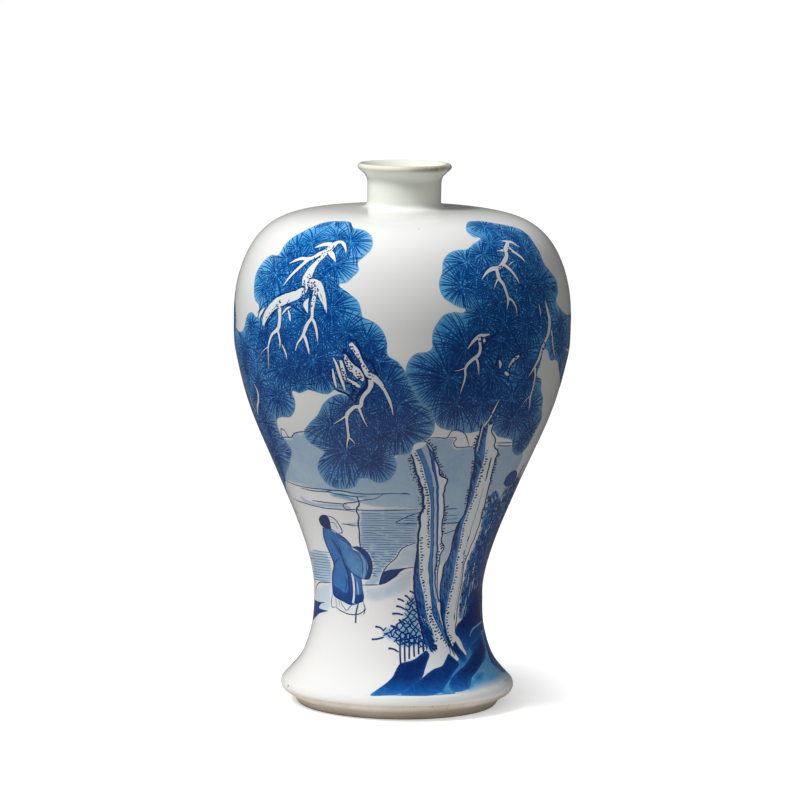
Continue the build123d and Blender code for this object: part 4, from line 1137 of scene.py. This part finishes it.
# %% Lines of the hills, the shore and the water
level_lines = [
    [(283.6, 478.6), (288, 481.5), (295, 484.5), (308.9, 487.8), (327.4, 489.6), (346.8, 491.9), (355.1, 493.3), (383.8, 493.8), (393, 493.5), (410.6, 494.2)], [(300.5, 487.8), (312.6, 490.7), (325.5, 491.7), (346.8, 495.4), (355.1, 496.6), (367.1, 495.9)], [(326.4, 491.5), (330.1, 490.4), (350.5, 492)],
    [(293.2, 497.9), (295, 499.3), (304.2, 502.8), (313.5, 505.5), (327.4, 508.3), (341.2, 509.4), (355.1, 511.5)], [(312.1, 500.3), (327.4, 502.6), (346.8, 504.1)], [(383.8, 493.9), (374.5, 498.9), (365.3, 499.8), (355.1, 502.2), (343.1, 505.8), (344, 507.7), (354.2, 509.4), (396.7, 510.2), (421.7, 509.2)],
    [(421.7, 511.5), (407.8, 516.6), (396.2, 522.9), (406, 523.7), (417.1, 523.9)], [(417.5, 542.3), (402.3, 548.4), (395.8, 558), (387.5, 565.6), (382.8, 572.8), (378.7, 584.7)], [(414.3, 567.1), (406, 568.2), (399.5, 568.9)], [(378.7, 584.7), (370.8, 584.9), (362.3, 585)],
    [(331.5, 582.5), (325.5, 582.4), (319.2, 582.6), (317.2, 585), (315.5, 593.2)], [(341.7, 523.7), (346.8, 524.3), (357.9, 525.7)],
    [(283, 438), (281.6, 434), (281.4, 428.5), (285, 431), (288.3, 436.6), (290, 437.6), (294.5, 433.2), (303, 431.6), (311, 431)], [(282.5, 437.8), (286, 437), (290, 437.6)],
    [(429.7, 437.8), (438.3, 437.6), (446.9, 437.8), (451.7, 431.1), (456.5, 429.6), (462.2, 431.5), (466, 435.8), (467.9, 441.6), (469.4, 446.8)], [(446.9, 437.8), (456.5, 438.7), (453.6, 442.5), (454.5, 445.9), (468.9, 446.8), (476.6, 447)], [(496.7, 445.6), (504.3, 445.9), (512.9, 445.6)], [(496.7, 443), (512.9, 442.5)],
    [(442.1, 510), (448.8, 509), (457.4, 508.6)], [(400, 493.7), (405.7, 493.4), (410.5, 494.2)], [(443.1, 523.9), (453.6, 523.4), (461.2, 521.5)], [(442.1, 534.4), (449.8, 532), (456.5, 529.1)], [(512.9, 520), (501.4, 517.2), (491.9, 515.3), (481.3, 518.6)],
]
for way in level_lines:
    far.stroke(seen(*way), 0.52 * MM, tone=0.85, lift=0.06 * MM, thin=(0.5, 0.4))
for row in np.arange(513.5, 583, 2.4):
    left = 360 + (0 if row < 548 else min(12, (row - 548) * 1.1)) + draw.uniform(-1, 2) - (13 if 522 < row < 526 else 0)
    right = np.interp(row, [542, 548, 557, 566, 576, 583], [418, 404, 397, 388, 383, 379]) - draw.uniform(0, 3)
    if right - left > 5:
        cut = draw.uniform(0.2, 0.8)
        for one, two in ((left, left + (right - left) * cut), (left + (right - left) * cut + 2, right)):
            if two - one > 3:
                far.stroke(seen((one, row), ((one + two) / 2, row + draw.uniform(-0.3, 0.3)), (two, row + 0.4)), draw.uniform(0.3, 0.42) * MM, tone=draw.uniform(0.5, 0.72), lift=0.06 * MM)
for row in np.arange(551, 582, 2.6):
    far.stroke(seen((310 + draw.uniform(0, 4), row - 1), (320, row + 0.5), (331, row + 1.5)), 0.36 * MM, tone=0.5, lift=0.06 * MM)
for row in (515, 518.5, 522):
    far.stroke(seen((458, row), (450, row + 0.5), (444, row + 1)), 0.34 * MM, tone=0.6, lift=0.06 * MM)
shore_leaf = seen((413.4, 566.8), (406, 568.7), (400.4, 571.9), (396.7, 576.1), (392.1, 579.3), (385.6, 583.2), (379, 584.7), (381, 578.4), (382.8, 572.4), (388.4, 570.1), (399.5, 568.7))
rocks.wash(shore_leaf, 0.93, lift=0.065 * MM)
rocks.wash(seen((314.9, 599.5), (319, 601.7), (325.1, 602.6), (320.4, 604.5), (319.2, 607.2), (322.7, 609.4), (328.1, 610.9), (322.7, 612.2), (319.2, 613.5), (315.8, 616.8), (313.1, 619.1), (314, 608.9)), 0.88, lift=0.065 * MM)

# %% [markdown]
# ## The scholar by the lake
# A man in a long robe stands with his back to us and a staff in his hand. He has no face to draw:
# a head of dark hair under a white hood, a robe in two blues with folds, a wide dark band on the
# sleeve, and the white hem of a skirt. The whole figure is less than fifty millimetres tall.

# %% Scholar
scholar = Sheet()


def cloth(outline, middle, edge, lift, soft=2.2 * MM):
    scholar.wash(outline, lambda places, apart: edge + (middle - edge) * np.clip(apart / soft, 0, 1), lift=lift)


skirt = seen((332.4, 592.3), (344, 600.6), (350.5, 603.8), (363.4, 601), (365.3, 608.4), (363.9, 614.4), (352.3, 614.6), (343.1, 611.9), (334.8, 607.1), (332.4, 607.2))
cloth(skirt, 0.04, 0.04, 0.055 * MM)
robe = seen((322.7, 527.7), (327.4, 527.7), (332, 529.2), (337.5, 533.3), (344, 537.7), (349.6, 543.3), (352.3, 549.7), (359.7, 553.4), (362.5, 559), (363, 568.2), (361.6, 578.4), (362.5, 586.7), (363.2, 600.6), (356, 602.9), (350.5, 604.3), (344, 601.5), (332.9, 593.2), (332.4, 585.8), (332.9, 572.8), (334, 565.4), (330.1, 553.4), (326.4, 545.1), (323.7, 536.8))
cloth(robe, 0.58, 0.72, 0.06 * MM)
sleeve = seen((338.5, 536.8), (346.8, 540.5), (352.3, 548.8), (359.7, 552.5), (365.7, 559), (367.6, 568.2), (365.5, 578.9), (359.7, 577.6), (352.3, 572.4), (345.9, 564.1), (341.7, 555.3), (338.9, 545.1))
cloth(sleeve, 0.47, 0.56, 0.075 * MM)
cloth(seen((359.7, 552), (363.9, 558), (366, 566.4), (365.3, 573.8), (363.9, 578.9), (362, 577.9), (363, 568.2), (361.8, 559.9)), 0.3, 0.36, 0.085 * MM, soft=MM)
cloth(seen((351.6, 546.8), (357.9, 546.4), (363.9, 548.8), (369, 554.3), (372.5, 563.6), (371.9, 572.8), (368.5, 579.5), (364.8, 579.3), (366.9, 573.8), (368, 566.4), (365.7, 559), (359.7, 552)), 0.92, 0.88, 0.09 * MM)
cloth(seen((333.1, 584.4), (339.4, 588.6), (346.8, 592.7), (349.1, 586.7), (348.6, 575.6), (345.7, 566.4), (351.4, 573.8), (353.1, 586.7), (351.6, 603.8), (344, 601.5), (332.9, 593.4)), 0.86, 0.8, 0.085 * MM)
cloth(seen((355.1, 595), (362.5, 594.6), (363.4, 601), (358.8, 602.6), (354.6, 603.2)), 0.88, 0.84, 0.085 * MM)
scholar.stroke(seen((351.6, 572.8), (353.4, 580.2), (354.2, 588.6), (354, 596.9), (353.1, 602.9)), 1.1 * MM, tone=0.05, lift=0.1 * MM, thin=(0.5, 1))
scholar.stroke(seen((357, 581.2), (357.9, 587.6), (358.4, 595)), 0.8 * MM, tone=0.3, lift=0.1 * MM)
scholar.stroke(seen((331.5, 538.6), (334.8, 543.3), (338.5, 549.7), (341.2, 555.3)), 1.5 * MM, tone=(0.75, 0.85), lift=0.08 * MM, thin=(0.4, 0.5))
for way, width in (
    ([(322.7, 527.7), (323.7, 536.8), (326.4, 545.1), (330.1, 553.4), (334, 565.4), (332.7, 572.8), (332.4, 585.8), (332.9, 593.4)], 0.5), ([(327.4, 527.7), (332, 529.2), (337.5, 533.3), (344, 537.7), (349.6, 543.3), (352.5, 548.8)], 0.55),
    ([(338.9, 544.2), (341.7, 555.3), (345.9, 565.4), (352.3, 572.8), (359.7, 577.6), (365.3, 579.3)], 0.5), ([(341.7, 555.3), (344.9, 564.5), (347.7, 572.8), (349.1, 584.9), (349.6, 593.2)], 0.8), ([(352.3, 548.8), (358.8, 555.3), (361.8, 559.9), (363, 568.2), (362, 577.9)], 0.4),
    ([(339.4, 558), (335.7, 561.7), (333.7, 566.4)], 0.4), ([(345.4, 575.6), (346.8, 583), (345.4, 590.4)], 0.45), ([(338.5, 536.8), (344.9, 541.4), (350.5, 545.1)], 0.4), ([(332.9, 593.4), (344, 601.5), (350.5, 604.5), (363.4, 601.3)], 0.5),
    ([(332.4, 593.2), (332.4, 607.1), (334.9, 607.2)], 0.4), ([(334.8, 606.3), (343.1, 611.9), (352.3, 614.6), (359.7, 613.7), (365, 608.9), (363.1, 601.7)], 0.45), ([(335.7, 595), (336.2, 601.5), (336.6, 607.1)], 0.32), ([(340.3, 598.3), (341.7, 603.4), (342.3, 607.5)], 0.32),
    ([(342.6, 604.7), (346.8, 610.5), (350.5, 606.3), (352.5, 604.5)], 0.35), ([(363.6, 604.3), (365.3, 608.9), (363.4, 614.6)], 0.4), ([(338.5, 596.9), (339.2, 601.5), (339.6, 606.1)], 0.28), ([(355.1, 578.4), (355.6, 586.7), (355.1, 595)], 0.4),
):
    scholar.stroke(seen(*way), width * MM, tone=0.95, lift=0.102 * MM)
for row in range(740, 990, 42):
    scholar.stroke(seen((371.4, 485 + row / 10.815), (374.7, 485 + row / 10.815)), 0.35 * MM, tone=0.85, lift=0.095 * MM)
hood = seen((327.4, 515.7), (333.8, 517.9), (339.2, 524.3), (342.2, 532.6), (338, 533.5), (332, 530.3), (330.1, 524.8))
scholar.wash(hood, 0.04, lift=0.09 * MM)
scholar.stroke(seen((327.4, 515.7), (333.8, 518.1), (338.9, 524.3), (342, 532.7), (338.5, 533.1)), 0.5 * MM, tone=0.95, lift=0.105 * MM)
scholar.stroke(seen((330.1, 522.2), (334.3, 522.9), (337.7, 528.9)), 0.34 * MM, tone=0.85, lift=0.105 * MM)
hair = seen((318.9, 519.4), (320.4, 516), (323.8, 514.8), (327.1, 515.7), (329.4, 519.4), (330.7, 524.8), (331.2, 528.3), (327.4, 528.6), (322.7, 526.6), (320, 523.1))
scholar.wash(hair, 0.97, lift=0.1 * MM)
scholar.stroke(seen((356.8, 496.3), (358.8, 501.6), (359.4, 504.6), (356.8, 508.1), (356.6, 511.8), (358.8, 515.5), (358.2, 522), (359.3, 531.2), (359.7, 542.3), (360.8, 548.8)), 0.7 * MM, tone=0.95, lift=0.1 * MM, thin=(0.7, 0.8))
scholar.stroke(seen((358.4, 603.5), (356.2, 612.6), (355.6, 623)), 0.75 * MM, tone=0.95, lift=0.11 * MM, thin=(0.7, 1))

# %% [markdown]
# ## The side that the photograph doesn't show
# Nothing in the picture says what is on the back. Pots of this kind carry the landscape round, and
# leave much of the ground white. So the lake goes on with a few level lines, a far range of hills
# closes it, a boulder with reeds stands at the water, and a smaller pine leans over it.

# %% The back of the painting
back_rim = behind(
    (216, 212), (224, 222), (236, 228), (248, 226), (258, 222), (270, 214), (276, 204), (282, 192), (276, 182), (268, 176), (262, 184), (254, 178),
    (246, 172), (236, 174), (230, 182), (222, 180), (214, 188), (208, 198))
back_lobes = [
    (238, 216, 12), (250, 214, 12), (226, 210, 11), (262, 208, 12), (270, 200, 10), (256, 198, 12), (242, 202, 12), (228, 198, 11), (246, 186, 11), (266, 190, 10), (234, 188, 10), (218, 196, 10),
    (252, 190, 10), (274, 192, 8),
]
crown(crown_washes, crown_needles, back_rim, [(behind((degrees, height))[0], size * MM) for degrees, height, size in back_lobes], draw)
back_trunk_right = behind((232, 22), (236, 40), (240, 60), (236, 84), (230, 108), (232, 132), (240, 152), (246, 174))
back_trunk_left = behind((222, 22), (227, 40), (231, 60), (228, 84), (222, 108), (225, 134), (234, 156), (242, 178))
trunks.ribbon(back_trunk_right, back_trunk_left, (0.6, 0.1, 0.05, 0.05, 0.55, 0.5, 0.7), 0.09 * MM, across=12)
for edge, side in ((back_trunk_left, 1), (back_trunk_right, -1)):
    ragged(trunks, edge, draw, width=0.55 * MM)
    ticks(trunks, edge, side, draw)
bark(trunks, back_trunk_right, back_trunk_left, 0.2, draw, 120, lean=0.6, spread=0.12)
for way, widths in (
    ([(243, 176), (238, 188), (230, 196), (222, 200)], (6, 4.5, 3, 1)), ([(243, 178), (248, 192), (258, 202), (266, 206)], (6, 4.5, 3, 1)), ([(240, 184), (242, 200), (240, 214)], (4, 2.5, 1)),
    ([(226, 118), (216, 128), (208, 140)], (5, 3, 1)), ([(256, 200), (262, 194), (268, 186)], (3, 2, 1)),
):
    branch(branch_bodies, branch_lines, with_widths(behind(*way), widths), draw)
for outline in (
    [(202, 17), (207, 29), (213, 42), (219, 48), (223, 41), (228, 30), (234, 25), (240, 18), (228, 15.5), (212, 15)], [(232, 17.5), (238, 30), (242, 40), (246, 45), (250, 36), (257, 28), (264, 18.5), (250, 15.5)],
    [(180, 18), (186, 27), (192, 35), (196, 33), (201, 25), (208, 18), (194, 15)], [(250, 17), (254, 24), (258, 28), (261, 23), (266, 17.5), (258, 15)], [(148, 17), (155, 23), (162, 31), (167, 27), (172, 22), (180, 17.5), (164, 15)],
):
    rock(rocks, behind(*outline), strength=0.96)
for ground in (
    [(176, 19), (190, 26), (206, 30), (226, 34), (246, 33), (256, 27), (267, 18), (262, 13.6), (240, 13.2), (200, 13.2), (180, 13.6)], [(142, 18), (156, 24), (170, 24), (184, 18), (178, 13.6), (150, 13.6)],
    [(68, 22), (84, 34), (100, 32), (118, 24), (128, 18), (120, 13.6), (90, 13.2), (70, 14)],
):
    rocks.wash(behind(*ground), pale(0.3, 4 * MM), lift=0.024 * MM)
back_bush = behind((250, 26), (243, 46), (244, 60), (254, 66), (264, 60), (270, 46), (268, 32), (262, 24))
bushes.wash(back_bush, lambda places, apart: 0.05 + 0.33 * np.clip(apart / (4 * MM), 0, 1), lift=0.03 * MM)
net(bushes, back_bush, draw, 300, 3.4 * MM, slants=(0.2, 1.3, 2.3, 1.9))
for degrees in np.linspace(184, 206, 14):
    bushes.stroke(behind((degrees, 28), (degrees + draw.uniform(-1, 1), 44), (degrees + draw.uniform(-3, 3), 56 + draw.uniform(-4, 6))), 0.5 * MM, tone=0.9, lift=0.1 * MM, thin=(0.9, 0.2))
for index, (low, high, start, end) in enumerate(((138, 158, 108, 172), (128, 150, 160, 214))):
    crest = [(start + (end - start) * step / 12, low + (high - low) * math.sin(math.pi * step / 12) ** 1.3 * (1 + 0.18 * math.sin(5.1 * step))) for step in range(13)]
    far.stroke(behind(*crest), 0.42 * MM, tone=0.8, lift=0.06 * MM, thin=(0.4, 0.4))
    haze(far, behind(*crest, (end - 2, low - 3), ((start + end) / 2, low - 5), (start + 2, low - 3)), tone=0.2, fade=6 * MM, lift=(0.024 + 0.012 * index) * MM)
for height in range(92, 124, 5):
    for start, end in ((112 + draw.uniform(0, 8), 150 + draw.uniform(0, 20)), (176 + draw.uniform(-6, 6), 206 + draw.uniform(0, 8)), (256 + draw.uniform(0, 10), 284 + draw.uniform(0, 6))):
        far.stroke(behind((start, height), ((start + end) / 2, height + draw.uniform(-0.6, 0.6)), (end, height)), 0.32 * MM, tone=0.6, lift=0.06 * MM, thin=(0.3, 0.3))
haze(far, behind((110, 126), (140, 128), (172, 126), (204, 124), (206, 108), (170, 104), (130, 106), (112, 112)), tone=0.1)
haze(far, behind((252, 128), (276, 130), (292, 126), (288, 108), (262, 106)), tone=0.1)
boat = behind((146, 84), (150, 81), (162, 80), (173, 82), (178, 86), (170, 84.5), (156, 83.5))
rocks.wash(boat, 0.9, lift=0.065 * MM)
for way in ([(153, 84), (153, 90), (157, 93), (163, 93), (166, 90), (166, 84)], [(140, 79), (158, 78), (184, 79.5)]):
    far.stroke(behind(*way), 0.4 * MM, tone=0.85, lift=0.07 * MM)
far.dry("haze_and_water", cobalt)
rocks.dry("rocks", cobalt)
bushes.dry("bushes_and_reeds", cobalt)
crown_washes.dry("pine_washes", crown_cobalt)
crown_needles.dry("pine_needles", cobalt)
branch_bodies.dry("branch_bodies", cobalt)
branch_lines.dry("branch_lines", cobalt)
trunks.dry("trunks", cobalt)
scholar.dry("scholar", cobalt)

# %% [markdown]
# ## The other coats and the bare clay
# The hollow and the base inside the foot ring have a clear coat with nothing painted under it.
# The inner coat is turned again like the outer one, because its mouth shows. The foot ring and the
# slope above it are bare: fired clay, beige, dull and a little sandy, darker and browner in the
# lowest few millimetres of the ring, with some dark specks. The walls and the slip seams lie
# between the coats, and get the same clay.

# %% Inner coat, base coat and clay
clear_glaze = Finish("clear glaze")
glaze_surface(clear_glaze)
clear_glaze.set(base_color=glaze_colour(clear_glaze))
inner_outline = smooth_way(outline_of("inner_glaze", outwards=False), 2.2 * MM, math.radians(6))
inner_back = smooth_way(outline_of("inner_glaze", outwards=True), 6 * MM, math.radians(12))
floor_top = [(0, inner_outline[0][1])]
floor_under = [(0, inner_back[0][1])]
inner_chain = np.concatenate([floor_top, inner_outline, inner_back[::-1], floor_under])
print("inner coat runs from", np.round(inner_outline[0] / MM, 2), "to", np.round(inner_outline[-1] / MM, 2))
inner_piece = finished(turned(inner_chain, 160, closed=False), "glaze_inside", clear_glaze.material, ["inner_glaze"])

bare_clay = Finish("bare clay")
sand = bare_clay.noise(900, detail=4.0, roughness=0.7)
patches = bare_clay.noise(45, detail=3.0)
grit = bare_clay.node("ShaderNodeTexVoronoi", {"Vector": bare_clay.place, "Scale": 260}, output="Distance")
clay_colour = bare_clay.mixed(patches.rise(0.35, 0.7), (226, 220, 206), (206, 194, 172))
clay_colour = bare_clay.mixed(sand.rise(0.55, 0.75) * 0.35, clay_colour, (150, 130, 104))
clay_colour = bare_clay.mixed((1 - grit.rise(0.05, 0.12)) * patches.rise(0.5, 0.6) * 0.8, clay_colour, (92, 74, 56))
# Darker and browner in the lowest few millimetres of the foot ring.
clay_colour = bare_clay.mixed((1 - bare_clay.height.rise(0.0035, 0.0062)) * 0.5, clay_colour, (166, 150, 128))
bare_clay.set(base_color=clay_colour, roughness=0.72)
bare_clay.bump(sand, 0.12 * MM, 0.5)
for name in ("foot_section", "belly_section", "shoulder_section", "neck_section", "waist_slip_seam", "belly_slip_seam", "neck_slip_seam"):
    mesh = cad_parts[name].data
    mesh.materials.clear()
    mesh.materials.append(bare_clay.material)
base_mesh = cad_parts["base_glaze"].data
base_mesh.materials.clear()
base_mesh.materials.append(clear_glaze.material)

# %% [markdown]
# ## Floor and light
# The vase stands on a white sweep in a studio. The floor is diffuse white near the foot and painted
# dark grey further off, so that it throws less light up onto the vase. For the camera and for
# reflections it gets a little light of its own, so that it shows as plain white while the vase's own
# shadow stays on it. One large soft lamp hangs above and to the left, and the white room fills the rest.

# %% Floor and light
floor_mesh = bmesh.new()
bmesh.ops.create_grid(floor_mesh, x_segments=1, y_segments=1, size=30)
floor_data = bpy.data.meshes.new("floor")
floor_mesh.to_mesh(floor_data)
floor_mesh.free()
floor = bpy.data.objects.new("floor", floor_data)
bpy.context.scene.collection.objects.link(floor)
paper = Finish("white floor")
away = paper.node("ShaderNodeVectorMath", {"Vector": paper.place}, output="Value", operation="LENGTH")
far_off = away.rise(0.10, 0.34)
squeezed = paper.node("ShaderNodeMapping", {"Vector": paper.place, "Location": (-0.005, -0.02, 0), "Scale": (1, 0.7, 1)})
shaded = paper.node("ShaderNodeVectorMath", {"Vector": squeezed}, output="Value", operation="LENGTH")
rays = paper.node("ShaderNodeLightPath", output="Is Camera Ray")
mirrored = paper.node("ShaderNodeLightPath", output="Is Glossy Ray")
through = paper.node("ShaderNodeLightPath", output="Is Transmission Ray")
own_light = rays * (shaded.rise(0.05, 0.11) * 0.64 + 0.36) + (mirrored + through) * 0.05
# Painted dark further off, so that the floor throws less light up onto the vase; the camera still sees it white.
floor_colour = paper.mixed(far_off, (244, 244, 244), (80, 80, 80))
paper.set(base_color=paper.mixed(mirrored * 0.5, floor_colour, (0, 0, 0)), roughness=0.9, specular_ior_level=0.1)
glow = paper.node("ShaderNodeEmission", {"Color": coloured((255, 255, 255)), "Strength": own_light}, output=0)
both = paper.node("ShaderNodeAddShader", output=0)
paper.tree.links.new(paper.shader.outputs[0], both.socket.node.inputs[0])
paper.tree.links.new(glow.socket, both.socket.node.inputs[1])
paper.tree.links.new(both.socket, paper.tree.nodes["Material Output"].inputs["Surface"])
floor_data.materials.append(paper.material)

room = bpy.data.worlds.new("room")
bpy.context.scene.world = room
room.use_nodes = True
room_light = room.node_tree.nodes["Background"]
room_light.inputs["Color"].default_value = coloured((255, 255, 255))
room_rays = room.node_tree.nodes.new("ShaderNodeLightPath").outputs
camera_ray = Value(room.node_tree, room_rays["Is Camera Ray"])
mirror_ray = Value(room.node_tree, room_rays["Is Glossy Ray"])
strength = (1 - camera_ray) * (1 - mirror_ray * 0.8) * 0.373 + camera_ray
room.node_tree.links.new(strength.socket, room_light.inputs["Strength"])


def softbox(name, place, aim, size, power):
    """A large soft lamp that hangs at a place and looks at another."""
    lamp = bpy.data.lights.new(name, "AREA")
    lamp.shape = "RECTANGLE"
    lamp.size, lamp.size_y = size
    lamp.energy = power
    holder = bpy.data.objects.new(name, lamp)
    bpy.context.scene.collection.objects.link(holder)
    toward = Vector(aim) - Vector(place)
    holder.visible_glossy = False
    holder.matrix_world = Matrix.Translation(place) @ toward.to_track_quat("-Z", "Y").to_matrix().to_4x4()
    return holder


softbox("key", (-0.75, -0.45, 1.30), (0, 0, 0.14), (0.5, 0.5), 20)
bpy.context.scene.view_settings.view_transform = "Standard"
